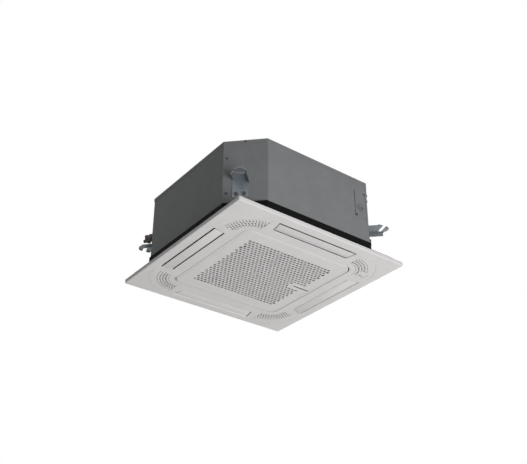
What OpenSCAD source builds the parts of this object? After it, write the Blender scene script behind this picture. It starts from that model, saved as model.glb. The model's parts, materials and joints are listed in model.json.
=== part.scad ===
// Ceiling cassette air conditioner for a 600 mm ceiling grid, with four outlets.
// Millimetres, +Z up. The origin is the middle of the ceiling plane: the panel
// hangs below it and the body stands above it. The front wall faces -Y.

/* [Steel body] */
// Width across the flat walls of the body
body_w = 575; // [566:1:578]
// Distance from the centre to each cut corner of the body
corner_dist = 341.4; // [338:0.2:344]
// Height of the body's top above the ceiling
body_top = 253; // [252:1:275]
// Thickness of the wall, lid and cover sheets
sheet_t = 1; // [0.8:0.1:1.2]
// Height of the lid's turned-down edge
lid_edge_h = 10; // [8:1:14]
// Width of the wall flange that laps over the next corner
lap_w = 18; // [14:1:20]
// Thickness of the insulating liner under the lid
liner_top_t = 11; // [9:1:12]
// Thickness of the insulating liner on the walls
liner_side_t = 8; // [7:0.5:10]
// Radius of the dished motor seat in the lid
dish_r = 100; // [92:1:108]
// Depth of the dished motor seat
dish_depth = 4; // [3:0.5:4.5]
// Height of the ribs pressed in the lid
bead_h = 2; // [1:0.5:3]
// Width of the wiring cover on the front wall
cover_w = 43; // [36:1:50]
// Height of the wiring cover
cover_h = 92; // [80:1:100]

/* [Hanger brackets] */
// Width of a bracket's upright plate
bracket_w = 45.5; // [42:0.5:48]
// Height of a bracket's upright plate
bracket_h = 61; // [56:1:66]
// Thickness of the bracket steel
bracket_t = 2; // [1.6:0.2:2.4]
// Height of a bracket's hook above the ceiling
hook_top = 116; // [110:1:124]
// Reach of a hook from the body's cut corner
hook_reach = 63; // [58:1:64]
// Width of a hook where it leaves its plate
hook_w = 48; // [44:1:52]
// Distance of the rod seat from the body's cut corner
rod_out = 35.5; // [34:0.5:38]
// Radius of the rod seat, for a 10 mm rod
rod_seat_r = 6; // [5.5:0.1:6.3]

/* [Drain pan] */
// Width across the pan
pan_w = 578; // [577:0.5:584]
// Distance from the centre to each cut corner of the pan
pan_dist = 345; // [344:0.5:350]
// Height of the pan
pan_h = 37; // [35:1:40]
// Half width of the suction space inside the pan
suction_half = 180; // [178:0.5:181]
// Corner radius of the suction space
suction_r = 40; // [36:1:46]
// Height of the ledge that carries the bell mouth
ledge_z = 30; // [28:0.5:31]
// Half width of the inner wall of the water trough
trough_in = 187; // [186:0.5:188]
// Half width of the outer wall of the water trough
trough_out = 226; // [224:0.5:228]
// Corner radius of the outer wall of the water trough
trough_r = 60; // [56:1:64]
// Thickness of the pan under the trough
trough_floor = 22; // [19:0.5:24]
// Distance from the centre to the inner side of an outlet
outlet_in = 238; // [237:0.5:239]
// Distance from the centre to the outer side of an outlet
outlet_out = 281; // [279:0.5:282]

/* [Ceiling panel] */
// Width of the square ceiling panel
panel_w = 620; // [616:1:634]
// Height of the panel's edge
panel_edge_h = 12; // [12:0.5:14]
// Thickness of the panel's face
panel_t = 3; // [2.8:0.1:3.2]
// Corner radius of the panel
panel_r = 5; // [3:0.5:8]
// Bevel round the panel's lower edge
panel_bevel = 1.6; // [1:0.1:2.2]
// Width of the panel's solid rim
rim_w = 14; // [12:0.5:15]
// Thickness of the sealing gasket on the rim
gasket_t = 3; // [2.5:0.5:3.5]
// Width of the sealing gasket
gasket_w = 8; // [6:0.5:9]
// Corner radius of the sealing gasket
gasket_r = 50; // [46:1:54]
// Distance from the centre to each panel screw, along X and along Y
panel_screw_at = 232; // [229:0.5:236]

/* [Louvers] */
// Distance from the centre to the inner side of a louver opening
slot_in = 236.5; // [236:0.1:237.5]
// Distance from the centre to the outer side of a louver opening
slot_out = 279.5; // [279:0.1:280.5]
// Length of a louver opening along its outer side
slot_len = 294; // [290:1:298]
// How much shorter each end of a louver opening is at its inner side
slot_slant = 8.5; // [7:0.5:9]
// Distance from the centre to a louver's turning axis
pivot_out = 254.5; // [254:0.1:255]
// Depth of a louver's turning axis below the ceiling
pivot_drop = 5.5; // [5.3:0.1:5.7]
// Radius of a louver's end pins
pin_r = 3; // [2.6:0.1:3.1]
// Thickness of a louver blade
blade_t = 2.4; // [2:0.1:2.6]
// Rise of a louver's curved underside at its long edges
blade_crown = 1; // [0.6:0.1:1.3]

/* [Suction grille] */
// Width of the suction grille
grille_w = 400; // [398:0.5:400.4]
// Corner radius of the suction grille
grille_r = 31; // [30:0.5:32]
// Gap round the grille in the panel
grille_gap = 1.5; // [1.4:0.1:1.8]
// Thickness of the grille's face
grille_t = 2.5; // [2.2:0.1:2.6]
// Width of the perforated field
field_w = 304; // [285:1:306]
// Rows of openings in the perforated field
field_rows = 15; // [9:2:15]
// Length of an opening in the perforated field
hole_len = 13; // [10:0.5:14]
// Width of an opening in the perforated field
hole_w = 6; // [5:0.5:8]
// Length of the slot that the latch knob slides in
latch_slot_len = 64; // [60:1:66]
// Travel of the latch
latch_travel = 7; // [5:0.5:8]
// Radius of the grille's hinge pins
hinge_pin_r = 1.4; // [1.2:0.1:1.5]

/* [Corner covers] */
// Radius of the inner edge of a corner cover
cover_in = 38; // [36:0.5:40]
// Radius of the outer edge of a corner cover
cover_out = 116; // [112:0.5:119]
// Thickness of a corner cover
cover_t = 2; // [1.8:0.1:2.2]
// Diameter of the largest dimple in a corner cover
dimple_d = 5; // [3.5:0.1:6]
// Spacing of the dimples
dimple_pitch = 12.7; // [12:0.1:13.5]

/* [Fan and motor] */
// Radius of the fan wheel
fan_r = 172; // [166:1:174]
// Number of fan blades
fan_blades = 7; // [5:1:9]
// Radius of the motor housing
motor_r = 62; // [56:1:63]
// Radius of the motor shaft
shaft_r = 4; // [3.5:0.1:4.5]
// Radius of the circle that the motor's studs stand on
stud_at = 78; // [77:0.5:80]
// Radius of the motor's studs
stud_r = 3; // [2.6:0.1:3.2]
// Radius of the bell mouth's throat
throat_r = 122; // [119:0.5:123]
// Radius of the bell mouth's rounded entry
entry_r = 18; // [16:0.5:19]

/* [Coil] */
// Half width of the inside of the coil
coil_in = 192; // [191:0.5:193]
// Depth of the coil through its fins
coil_depth = 26; // [24:0.5:27]
// Spacing of the coil's tubes
tube_pitch = 21; // [20.5:0.1:21.4]
// Radius of the coil's tubes
tube_r = 3.5; // [3:0.1:3.8]

/* [Pipes] */
// Outer radius of the gas pipe
gas_r = 6.35; // [6.2:0.05:6.4]
// Outer radius of the liquid pipe
liquid_r = 3.175; // [3.1:0.025:3.2]
// Height of the refrigerant pipes above the ceiling
pipe_z = 119; // [115:1:123]
// Outer radius of the drain socket
drain_r = 13; // [12.5:0.1:13.5]
// Wall of the drain socket
drain_t = 3; // [2.5:0.1:3.2]
// Height of the drain socket above the ceiling
drain_z = 190; // [184:1:196]

/* [Hidden] */

// Finishes
zinc = "#9a9ea2";
wall_grey = "#63666a";
bright = "#b9bdc2";
copper = "#b87445";
brass = "#b9975b";
foam = "#1c1d1f";
panel_white = "#d2d0d0";
soft_black = "#2b2d30";
board_green = "#2f6b45";

// Overrun of every cut past the face it opens
over = 1;
// Radial clearance of a turning pin or a screw in its hole
run_fit = 0.05;
// Clearance of a piece in its recess, and of moving pieces that pass
side_fit = 0.4;
root2 = sqrt(2);
$fn = 48;

// Levels of the panel
z_rim = -gasket_t;
z_face = z_rim - panel_edge_h;
z_plate = z_face + panel_t;
z_pivot = -pivot_drop;
frame_top = -side_fit;

// Half widths
body_half = body_w / 2;
pan_half = pan_w / 2;
panel_half = panel_w / 2;
grille_half = grille_w / 2;
wall_half = corner_dist * root2 - body_half;
corner_half = (body_half - wall_half) / root2;

// Levels and faces of the body
lid_under = body_top - sheet_t;
liner_under = lid_under - liner_top_t;
dish_under = body_top - dish_depth - sheet_t;
liner_half = body_half - sheet_t;
liner_dist = corner_dist - 2 * sheet_t;
plate_face = corner_dist - sheet_t;

// A side's own frame: -Y points out of the wall
module on_side(i) {
    rotate([0, 0, 90 * i]) children();
}

// A corner's own frame: +X points out along the diagonal
module on_corner(i) {
    rotate([0, 0, 90 * i - 45]) children();
}

// A corner's quadrant: +X and +Y point along the two walls that meet there
module on_quadrant(i) {
    rotate([0, 0, 90 * (i - 1)]) children();
}

module slab(z0, z1) {
    translate([0, 0, z0]) linear_extrude(z1 - z0) children();
}

module rod_x(r, x0, x1) {
    translate([x0, 0, 0]) rotate([0, 90, 0]) cylinder(r = r, h = x1 - x0);
}

module tube(r, wall, h) {
    difference() {
        cylinder(r = r, h = h);
        translate([0, 0, -over]) cylinder(r = r - wall, h = h + 2 * over);
    }
}

module hex_nut(across, h, bore) {
    difference() {
        cylinder(d = across * 2 / sqrt(3), h = h, $fn = 6);
        translate([0, 0, -over]) cylinder(r = bore, h = h + 2 * over);
    }
}

// Square with cut corners, each at its own distance from the centre
module octagon(half, dist) {
    cut = dist * root2 - half;
    polygon([
        [cut, -half], [half, -cut], [half, cut], [cut, half],
        [-cut, half], [-half, cut], [-half, -cut], [-cut, -half]
    ]);
}

module octagon_ring(half, dist, wall) {
    difference() {
        octagon(half, dist);
        octagon(half - wall, dist - wall);
    }
}

module round_square(half, r) {
    square([2 * half, 2 * (half - r)], center = true);
    square([2 * (half - r), 2 * half], center = true);
    for (x = [-1, 1], y = [-1, 1])
        translate([x * (half - r), y * (half - r)]) circle(r);
}

module square_ring(half, r, wall) {
    difference() {
        round_square(half, r);
        round_square(half - wall, max(r - wall, 0));
    }
}

// Rounded square plate whose lower edge is bevelled
module bevel_plate(half, r, bevel, h) {
    side = [
        [bevel - half, 0], [half - bevel, 0], [half, bevel],
        [half, h], [-half, h], [-half, bevel]
    ];
    for (turn = [0, 90])
        rotate([0, 0, turn]) translate([0, half - r, 0]) rotate([90, 0, 0])
            linear_extrude(2 * (half - r)) polygon(side);
    for (x = [-1, 1], y = [-1, 1])
        translate([x * (half - r), y * (half - r), 0])
            rotate_extrude() polygon([[0, 0], [r - bevel, 0], [r, bevel], [r, h], [0, h]]);
}

cable_r = 10;

// Screws of the body, each in a frame whose +X points out of the sheet
screw_r = 2;
screw_head_r = 4;
screw_head_h = 2;
screw_len = 6;
lap_screw_side = lap_w * 0.6 - corner_half;
lap_screw_heights = [pan_h + bracket_h * 0.55, body_top - bracket_h];
lid_screw_z = body_top - lid_edge_h / 2;
cover_x = body_half - cover_w * 2.85;
cover_z = hook_top + cover_h / 2;
cover_screw_side = cover_w / 2 - screw_head_r;
pipe_plate_w = 46;
pipe_plate_h = 52;
pipe_plate_side = corner_half - pipe_plate_w / 2 - sheet_t * 2;

module screw_places() {
    for (i = [0 : 3]) {
        for (z = lap_screw_heights)
            on_corner(i) translate([corner_dist, lap_screw_side, z]) children();
        on_corner(i) translate([corner_dist + sheet_t, 0, lid_screw_z]) children();
    }
    for (z = [-1, 1])
        translate([cover_x + z * cover_screw_side, -body_half - sheet_t, cover_z + z * (cover_h / 2 - screw_head_r)])
            rotate([0, 0, -90]) children();
    for (z = [-1, 1])
        on_corner(2)
            translate([corner_dist, pipe_plate_side, pipe_z + z * (pipe_plate_h / 2 - screw_head_r)])
                children();
}

module screw_holes() {
    screw_places() rod_x(screw_r + run_fit, -screw_len - over, over);
}

module body_screws() {
    color(bright) screw_places() {
        rod_x(screw_head_r, 0, screw_head_h);
        rod_x(screw_r, -screw_len, 0);
    }
}

// Lid with a dished motor seat and pressed ribs
bead_r = 14;
bead_in = dish_r + bead_r * 1.2;
bead_out = body_half - bead_r * 3;

module lid_bead(out) {
    intersection() {
        translate([0, 0, body_top - bead_r + bead_h]) rod_x(bead_r, bead_in, out);
        translate([0, -bead_r, lid_under]) cube([out + over, 2 * bead_r, sheet_t + bead_h + over]);
    }
}

module top_plate() {
    color(zinc) difference() {
        union() {
            slab(lid_under, body_top) octagon(body_half + sheet_t, corner_dist + sheet_t);
            slab(body_top - lid_edge_h, body_top)
                octagon_ring(body_half + sheet_t, corner_dist + sheet_t, sheet_t);
            slab(dish_under, body_top) circle(dish_r);
            for (i = [0 : 3]) {
                rotate([0, 0, 90 * i]) lid_bead(bead_out);
                on_corner(i) lid_bead(bead_out + bead_r * 3);
            }
        }
        slab(dish_under + sheet_t, body_top + over) circle(dish_r - sheet_t);
        screw_holes();
    }
}

// Each wall is one sheet: a flat wall, the cut corner at its left end and a
// flange at its right end that laps over the next wall's corner
module wall_outline() {
    intersection() {
        octagon_ring(body_half, plate_face, sheet_t);
        translate([-liner_half, -body_half]) square([liner_half, liner_half]);
    }
    translate([0, -body_half]) square([wall_half, sheet_t]);
    on_corner(0) translate([plate_face, -corner_half]) square([sheet_t, lap_w]);
}

module wall(i) {
    color(wall_grey) difference() {
        on_side(i) slab(pan_h, lid_under) wall_outline();
        screw_holes();
        bolt_places() rod_x(bolt_r + run_fit, -bolt_len - over, over);
        wall_openings();
    }
}

// Openings through a wall and its liner: wiring, pipes and drain
module wall_openings() {
    translate([cover_x - cover_w / 4, -body_half - over, cover_z - cover_h / 4])
        cube([cover_w / 2, liner_side_t + sheet_t + 2 * over, cover_h / 2]);
    on_corner(2)
        translate([liner_dist - liner_side_t - over, pipe_plate_side - pipe_plate_w / 2 + screw_head_r, pipe_z - pipe_plate_h / 4])
            cube([liner_side_t + 2 * sheet_t + 2 * over, pipe_plate_w - 2 * screw_head_r, pipe_plate_h / 2]);
    translate([drain_x, 0, drain_z]) rotate([-90, 0, 0])
        cylinder(r = drain_r + run_fit, h = body_half + over);
}

module foam_liner() {
    color(foam) difference() {
        slab(pan_h, lid_under) octagon(liner_half, liner_dist);
        slab(pan_h - over, liner_under)
            octagon(liner_half - liner_side_t, liner_dist - liner_side_t);
        slab(liner_under - over, lid_under + over) circle(dish_r + sheet_t);
        screw_holes();
        bolt_places() rod_x(bolt_r + run_fit, -bolt_len - over, over);
        wall_openings();
    }
}

module wiring_cover() {
    color(wall_grey) difference() {
        translate([cover_x - cover_w / 2, -body_half - sheet_t, cover_z - cover_h / 2])
            cube([cover_w, sheet_t, cover_h]);
        screw_holes();
        translate([cover_x, -body_half + over, cover_z - cover_h / 8]) rotate([90, 0, 0])
            cylinder(r = cable_r, h = sheet_t + 2 * over);
    }
}

// Hanger brackets
bolt_r = 3;
bolt_len = 7;
bolt_across = 10;
bolt_h = 4;
bracket_side = -14;
hook_side = -11;
lip_h = 14;
slot_turn = -63;
rod_slot_w = rod_seat_r * 1.92;
hook_shares = [
    [0, -0.5], [0.44, -0.5], [0.51, -0.56], [0.7, -0.42], [0.89, -0.27],
    [1, 0], [0.95, 0.23], [0.75, 0.44], [0.71, 0.5], [0, 0.5]
];
plate_slot_heights = [hook_top - bracket_h * 0.21, hook_top - bracket_h * 0.38, hook_top - bracket_h * 0.54];
plate_slot_w = 11;
plate_slot_h = 3.5;

module bolt_places() {
    for (i = [0 : 3], v = [-1, 1])
        on_corner(i)
            translate([plate_face + bracket_t, bracket_side + v * bracket_w / 4, hook_top - bracket_h * 0.82])
                children();
}

hook_points = [for (p = hook_shares) [p[0] * hook_reach, p[1] * hook_w]];

// Strip just inside one edge of the hook's outline
module tip_lip(a, b) {
    along = bracket_t * (b - a) / norm(b - a);
    inward = [-along[1], along[0]];
    translate([corner_dist, hook_side])
        polygon([a + along, b - along, b - along + inward, a + along + inward]);
}

module hook_outline() {
    difference() {
        union() {
            translate([corner_dist, hook_side]) polygon(hook_points);
            translate([plate_face, hook_side - hook_w / 2]) square([sheet_t + bracket_t, hook_w]);
        }
        translate([corner_dist + rod_out, 0]) {
            circle(rod_seat_r);
            rotate(slot_turn) translate([0, -rod_slot_w / 2]) square([hook_reach, rod_slot_w]);
        }
    }
}

module hanger_bracket(i) {
    z_hook = hook_top - bracket_t;
    color(bright) on_corner(i) difference() {
        union() {
            translate([plate_face, bracket_side - bracket_w / 2, hook_top - bracket_h])
                cube([bracket_t, bracket_w, bracket_h]);
            slab(z_hook, hook_top) hook_outline();
            for (k = [2, 4])
                slab(z_hook - bracket_t, hook_top) tip_lip(hook_points[k], hook_points[k + 1]);
            slab(hook_top - lip_h, hook_top)
                translate([plate_face, hook_side + hook_w / 2 - bracket_t])
                    square([hook_reach * 0.71, bracket_t]);
        }
        for (z = plate_slot_heights)
            translate([plate_face - over, hook_side - plate_slot_w / 2, z])
                cube([bracket_t + 2 * over, plate_slot_w, plate_slot_h]);
        for (v = [-1, 1])
            translate([0, bracket_side + v * bracket_w / 4, hook_top - bracket_h * 0.82])
                rod_x(bolt_r + run_fit, plate_face - over, plate_face + bracket_t + over);
    }
}

module bracket_bolts() {
    color(zinc) bolt_places() {
        rotate([0, 90, 0]) cylinder(d = bolt_across * 2 / sqrt(3), h = bolt_h, $fn = 6);
        rod_x(bolt_r, -bolt_len, 0);
    }
}

// Foam drain pan with the suction space, the water trough and four outlets
ledge_w = 7;
ledge_t = 4;
sump_r = 22;
sump_floor = trough_floor - 10;
pump_u = 262;
pump_v = -20;
outlet_len = slot_len - 2;
lm_r = 10;
lm_len = 18;
lm_at = slot_len / 2 + panel_t;
pocket_h = 14;
panel_screw_r = 2.5;
panel_screw_len = 20;

module drain_pan() {
    color(foam) difference() {
        slab(0, pan_h) octagon(pan_half, pan_dist);
        slab(-over, pan_h + over) round_square(suction_half - ledge_w, suction_r - ledge_w);
        slab(-over, ledge_z - ledge_t) round_square(suction_half, suction_r);
        slab(ledge_z, pan_h + over) round_square(suction_half, suction_r);
        slab(trough_floor, pan_h + over) difference() {
            round_square(trough_out, trough_r);
            round_square(trough_in, suction_r + trough_in - suction_half);
        }
        on_corner(2) translate([pump_u, pump_v, sump_floor])
            cylinder(r = sump_r, h = pan_h);
        for (i = [0 : 3]) {
            on_side(i) translate([-outlet_len / 2, -outlet_out, -over])
                cube([outlet_len, outlet_out - outlet_in, pan_h + 2 * over]);
            on_side(i) translate([lm_at - side_fit, -pivot_out - lm_r - side_fit, -over])
                cube([lm_len + 2 * side_fit, 2 * (lm_r + side_fit), pocket_h + over]);
            on_quadrant(i) translate([panel_screw_at, panel_screw_at, -over])
                cylinder(r = panel_screw_r + run_fit, h = panel_screw_len + over);
        }
    }
}

// Bell mouth: a plate on the pan's ledge with a rounded entry and a throat
mouth_t = 2;
mouth_half = suction_half - side_fit;
mouth_r = throat_r + entry_r;
throat_top = ledge_z + 2 * entry_r;

module bell_mouth() {
    color(soft_black) {
        slab(ledge_z, ledge_z + mouth_t) difference() {
            round_square(mouth_half, suction_r - side_fit);
            circle(mouth_r);
        }
        translate([0, 0, ledge_z + entry_r]) rotate_extrude() {
            translate([mouth_r, 0]) intersection() {
                difference() {
                    circle(entry_r);
                    circle(entry_r - mouth_t);
                }
                translate([-entry_r, -entry_r]) square(entry_r);
            }
            translate([throat_r, 0]) square([mouth_t, throat_top - ledge_z - entry_r]);
        }
    }
}

// Radial fan wheel, its shaft and its motor
hub_z = 178;
hub_t = 2.5;
hub_r = 68;
boss_r = 13;
boss_bottom = 128;
boss_top = 156;
lip_r = throat_r + 5;
lip_bottom = ledge_z + entry_r + 4;
lip_top = lip_bottom + 8;
shroud_rise = 22;
shroud_out_z = lip_top + shroud_rise;
blade_in = 100;
blade_sweep = -48;
blade_curve_r = 120;
fan_blade_t = 3;
blade_gap = 4;
blade_slope = 22;
blade_low = throat_top + blade_gap + blade_slope;
motor_bottom = hub_z + 12;
motor_top = dish_under - 4;
lug_z = motor_top - 10;
lug_t = 3;
lug_r = 10;
motor_boss_r = 18;
shaft_top = motor_top - 8;
nut_h = 7;

function shroud_point(a, off) = [
    lip_r + off + (fan_r - lip_r - off) * (1 - cos(a)),
    lip_top + (shroud_out_z - lip_top) * sin(a) + (off > 0 ? -hub_t * sin(a) : 0)
];

// Middle of the circle that a blade's curve follows, through its two ends
blade_start = [blade_in - fan_blade_t, 0];
blade_end = (fan_r + fan_blade_t) * [cos(blade_sweep), sin(blade_sweep)];
blade_chord = blade_end - blade_start;
blade_rise = sqrt(blade_curve_r ^ 2 - (norm(blade_chord) / 2) ^ 2);
blade_middle = (blade_start + blade_end) / 2
    + [blade_chord[1], -blade_chord[0]] * blade_rise / norm(blade_chord);

module fan_blade() {
    linear_extrude(hub_z - lip_top) intersection() {
        translate(blade_middle) difference() {
            circle(blade_curve_r);
            circle(blade_curve_r - fan_blade_t);
        }
        polygon([
            [0, 0], 2 * fan_r * [cos(blade_sweep), sin(blade_sweep)],
            2 * fan_r * [cos(blade_sweep / 2), sin(blade_sweep / 2)], [2 * fan_r, 0]
        ]);
    }
}

module fan_wheel() {
    inner = [for (a = [0 : 15 : 90]) shroud_point(a, 0)];
    outer = [for (a = [90 : -15 : 0]) shroud_point(a, hub_t)];
    color(soft_black) {
        rotate_extrude() {
            polygon(concat([[lip_r, lip_bottom]], inner, outer, [[lip_r + hub_t, lip_bottom]]));
            polygon([
                [shaft_r + run_fit, boss_bottom], [boss_r, boss_bottom],
                [boss_r, boss_top - hub_t], [hub_r, hub_z], [fan_r, hub_z],
                [fan_r, hub_z + hub_t], [hub_r - hub_t / 2, hub_z + hub_t],
                [boss_r, boss_top], [shaft_r + run_fit, boss_top]
            ]);
        }
        intersection() {
            for (i = [0 : fan_blades - 1])
                rotate([0, 0, 360 * i / fan_blades]) translate([0, 0, lip_top]) fan_blade();
            rotate_extrude() polygon(concat(
                [[blade_in, hub_z], [fan_r, hub_z]],
                [for (a = [90 : -15 : 15]) shroud_point(a, hub_t / 4)],
                [[lip_r + hub_t / 2, lip_top], [lip_r, throat_top + blade_gap], [blade_in, blade_low]]
            ));
        }
    }
}

module motor_shaft() {
    color(bright) slab(boss_bottom - nut_h - side_fit, shaft_top) circle(shaft_r);
}

module fan_nut() {
    color(zinc) translate([0, 0, boss_bottom - nut_h])
        hex_nut(boss_r, nut_h, shaft_r);
}

module stud_places() {
    for (i = [0 : 3]) on_corner(i) translate([stud_at, 0, 0]) children();
}

module fan_motor() {
    color(bright) difference() {
        union() {
            slab(motor_bottom, motor_top) circle(motor_r);
            slab(motor_bottom - lug_r, motor_bottom) circle(motor_boss_r);
            for (i = [0 : 3]) on_corner(i)
                translate([0, -lug_r, lug_z]) cube([stud_at, 2 * lug_r, lug_t]);
            stud_places() translate([0, 0, lug_z]) cylinder(r = lug_r, h = lug_t);
        }
        slab(hub_z - over, shaft_top) circle(shaft_r + run_fit);
        stud_places() translate([0, 0, lug_z - over])
            cylinder(r = grommet_r, h = lug_t + 2 * over);
    }
}

grommet_r = 6;
grommet_flange_r = 9;
grommet_flange_t = 2;
stud_foot_r = 7;

module motor_grommets() {
    color(soft_black) stud_places() difference() {
        union() {
            translate([0, 0, lug_z]) cylinder(r = grommet_r, h = lug_t);
            translate([0, 0, lug_z - grommet_flange_t])
                cylinder(r = grommet_flange_r, h = grommet_flange_t);
            translate([0, 0, lug_z + lug_t]) cylinder(r = grommet_flange_r, h = grommet_flange_t);
        }
        translate([0, 0, lug_z - 2 * grommet_flange_t])
            cylinder(r = stud_r, h = lug_t + 4 * grommet_flange_t);
    }
}

module motor_studs() {
    shoulder_z = lug_z + lug_t + grommet_flange_t;
    color(zinc) stud_places() {
        translate([0, 0, lug_z - grommet_flange_t - nut_h - side_fit])
            cylinder(r = stud_r, h = dish_under - lug_z + grommet_flange_t + nut_h + side_fit);
        translate([0, 0, shoulder_z]) cylinder(r = stud_r + sheet_t, h = dish_under - shoulder_z);
        translate([0, 0, dish_under - grommet_flange_t])
            cylinder(r = stud_foot_r, h = grommet_flange_t);
    }
}

module motor_nuts() {
    color(zinc) stud_places() translate([0, 0, lug_z - grommet_flange_t - nut_h])
        hex_nut(bolt_across, nut_h, stud_r);
}

// Coil: a ring of fins in the trough, open at the corner that holds the pump
coil_out = coil_in + coil_depth;
coil_in_r = 30;
coil_end = 100;
tube_sheet_t = 1.5;
row_shares = [0.25, 0.75];
tube_count = floor((liner_under - trough_floor) / tube_pitch);
tube_low = trough_floor + (liner_under - trough_floor - tube_pitch * (tube_count - 1)) / 2;
header_gas_r = 8;
header_liquid_r = 5;
gas_v = 46.5;
liquid_v = 26;
row_gas = coil_in + coil_depth * row_shares[1];
row_liquid = coil_in + coil_depth * row_shares[0];
stub_r = 2.5;
socket_len = 14;

module coil_fins() {
    color(bright) slab(trough_floor, liner_under) difference() {
        round_square(coil_out, coil_in_r + coil_depth);
        round_square(coil_in, coil_in_r);
        translate([-coil_out - over, coil_end]) square(coil_out - coil_end + over);
    }
}

module tube_sheets() {
    color(zinc) {
        translate([-coil_out, coil_end, trough_floor])
            cube([coil_depth, tube_sheet_t, liner_under - trough_floor]);
        translate([-coil_end - tube_sheet_t, coil_in, trough_floor])
            cube([tube_sheet_t, coil_depth, liner_under - trough_floor]);
    }
}

// Half ring that joins two tubes, one tube pitch apart along Z
module return_bend() {
    rotate([0, -90, 0]) rotate_extrude(angle = 180) translate([tube_pitch / 2, 0]) circle(tube_r);
}

module coil_bends() {
    color(copper) for (s = row_shares) {
        row = coil_in + coil_depth * s;
        for (k = [1 : 3 : tube_count - 2])
            translate([-row, coil_end + tube_sheet_t, tube_low + tube_pitch * (k + 0.5)])
                return_bend();
        for (k = [0 : 2 : tube_count - 2])
            translate([-coil_end - tube_sheet_t, row, tube_low + tube_pitch * (k + 0.5)])
                rotate([0, 0, 90]) return_bend();
    }
}

// Header: a standing tube with a stub for every third tube and a pipe socket
module header(row, v, r, branch_r, pipe_r) {
    y = row - v * root2;
    difference() {
        union() {
            translate([-row, y, tube_low - tube_pitch / 2])
                cylinder(r = r, h = tube_pitch * tube_count);
            for (k = [0 : 3 : tube_count - 1])
                translate([-row, coil_end + tube_sheet_t, tube_low + tube_pitch * k])
                    rotate([-90, 0, 0]) cylinder(r = branch_r, h = y - coil_end - tube_sheet_t);
            on_corner(2) translate([row * root2 - v, v, pipe_z])
                rod_x(pipe_r + sheet_t, 0, socket_len + over);
        }
        on_corner(2) translate([row * root2 - v, v, pipe_z])
            rod_x(pipe_r + run_fit, socket_len - pipe_r, socket_len + 2 * over);
    }
}

module gas_header() {
    color(copper) header(row_gas, gas_v, header_gas_r, tube_r, gas_r);
}

module liquid_header() {
    color(copper) header(row_liquid, liquid_v, header_liquid_r, stub_r, liquid_r);
}

pipe_wall = 0.8;

// Unions: hexagon, thread radius and lengths, each for a flare nut
union_depth = 6;
gas_union_out = 3;
gas_across = 24;
gas_hex_len = 8;
gas_thread_r = 9.5;
gas_thread_len = 15;
liquid_union_out = 15;
liquid_across = 16;
liquid_hex_len = 8;
liquid_thread_r = 5.55;
liquid_thread_len = 14;

module straight_pipe(row, v, r, out) {
    on_corner(2) translate([0, v, pipe_z]) difference() {
        rod_x(r, row * root2 - v + socket_len - r, corner_dist + out + union_depth);
        rod_x(r - pipe_wall, row * root2 - v + socket_len, corner_dist + out + union_depth + over);
    }
}

module gas_pipe() {
    color(copper) straight_pipe(row_gas, gas_v, gas_r, gas_union_out);
}

module liquid_pipe() {
    color(copper) straight_pipe(row_liquid, liquid_v, liquid_r, liquid_union_out);
}

module flare_union(v, r, out, across, hex_len, thread_r, thread_len) {
    on_corner(2) translate([corner_dist + out, v, pipe_z]) difference() {
        union() {
            rotate([0, 90, 0]) cylinder(d = across * 2 / sqrt(3), h = hex_len, $fn = 6);
            rod_x(thread_r, hex_len - over, hex_len + thread_len);
        }
        rod_x(r, -over, union_depth);
        rod_x(r - pipe_wall, -over, hex_len + thread_len + over);
    }
}

module flare_unions() {
    color(brass) {
        flare_union(gas_v, gas_r, gas_union_out, gas_across, gas_hex_len, gas_thread_r, gas_thread_len);
        flare_union(
            liquid_v, liquid_r, liquid_union_out, liquid_across, liquid_hex_len,
            liquid_thread_r, liquid_thread_len
        );
    }
}

module pipe_plate() {
    color(zinc) difference() {
        on_corner(2) translate([plate_face, pipe_plate_side - pipe_plate_w / 2, pipe_z - pipe_plate_h / 2])
            cube([sheet_t, pipe_plate_w, pipe_plate_h]);
        screw_holes();
        on_corner(2) translate([0, gas_v, pipe_z])
            rod_x(gas_r + run_fit, plate_face - over, corner_dist + over);
        on_corner(2) translate([0, liquid_v, pipe_z])
            rod_x(liquid_r + run_fit, plate_face - over, corner_dist + over);
    }
}

// Condensate pump, its float and the drain
volute_r = 26;
volute_z = pan_h + 8;
volute_h = 20;
pump_motor_r = 22;
pump_motor_h = 35;
inlet_r = 11;
inlet_wall = 2;
inlet_bottom = sump_floor + 3;
impeller_r = 8;
impeller_shaft_r = 1.5;
vane_t = 1.6;
foot_r = 3;
arm_w = 14;
arm_out = 58;
nozzle_r = 7;
nozzle_wall = 1.5;
nozzle_len = 8;
nozzle_z = volute_z + volute_h / 2;
hose_r = 9.5;
hose_wall = 2;
hose_bend = 16;
drain_flange_r = 19;
drain_stick_out = 22;
pump_x = -(pump_u + pump_v) / root2;
pump_y = (pump_u - pump_v) / root2;
drain_x = pump_x + volute_r - nozzle_r - hose_wall;
hose_start = pump_y + volute_r + nozzle_len;
hose_y = hose_start + hose_bend;
float_x = pump_x + volute_r + 13;
float_r = 11;
float_h = 12;
float_stroke = 12;
guide_r = 3;

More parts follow.
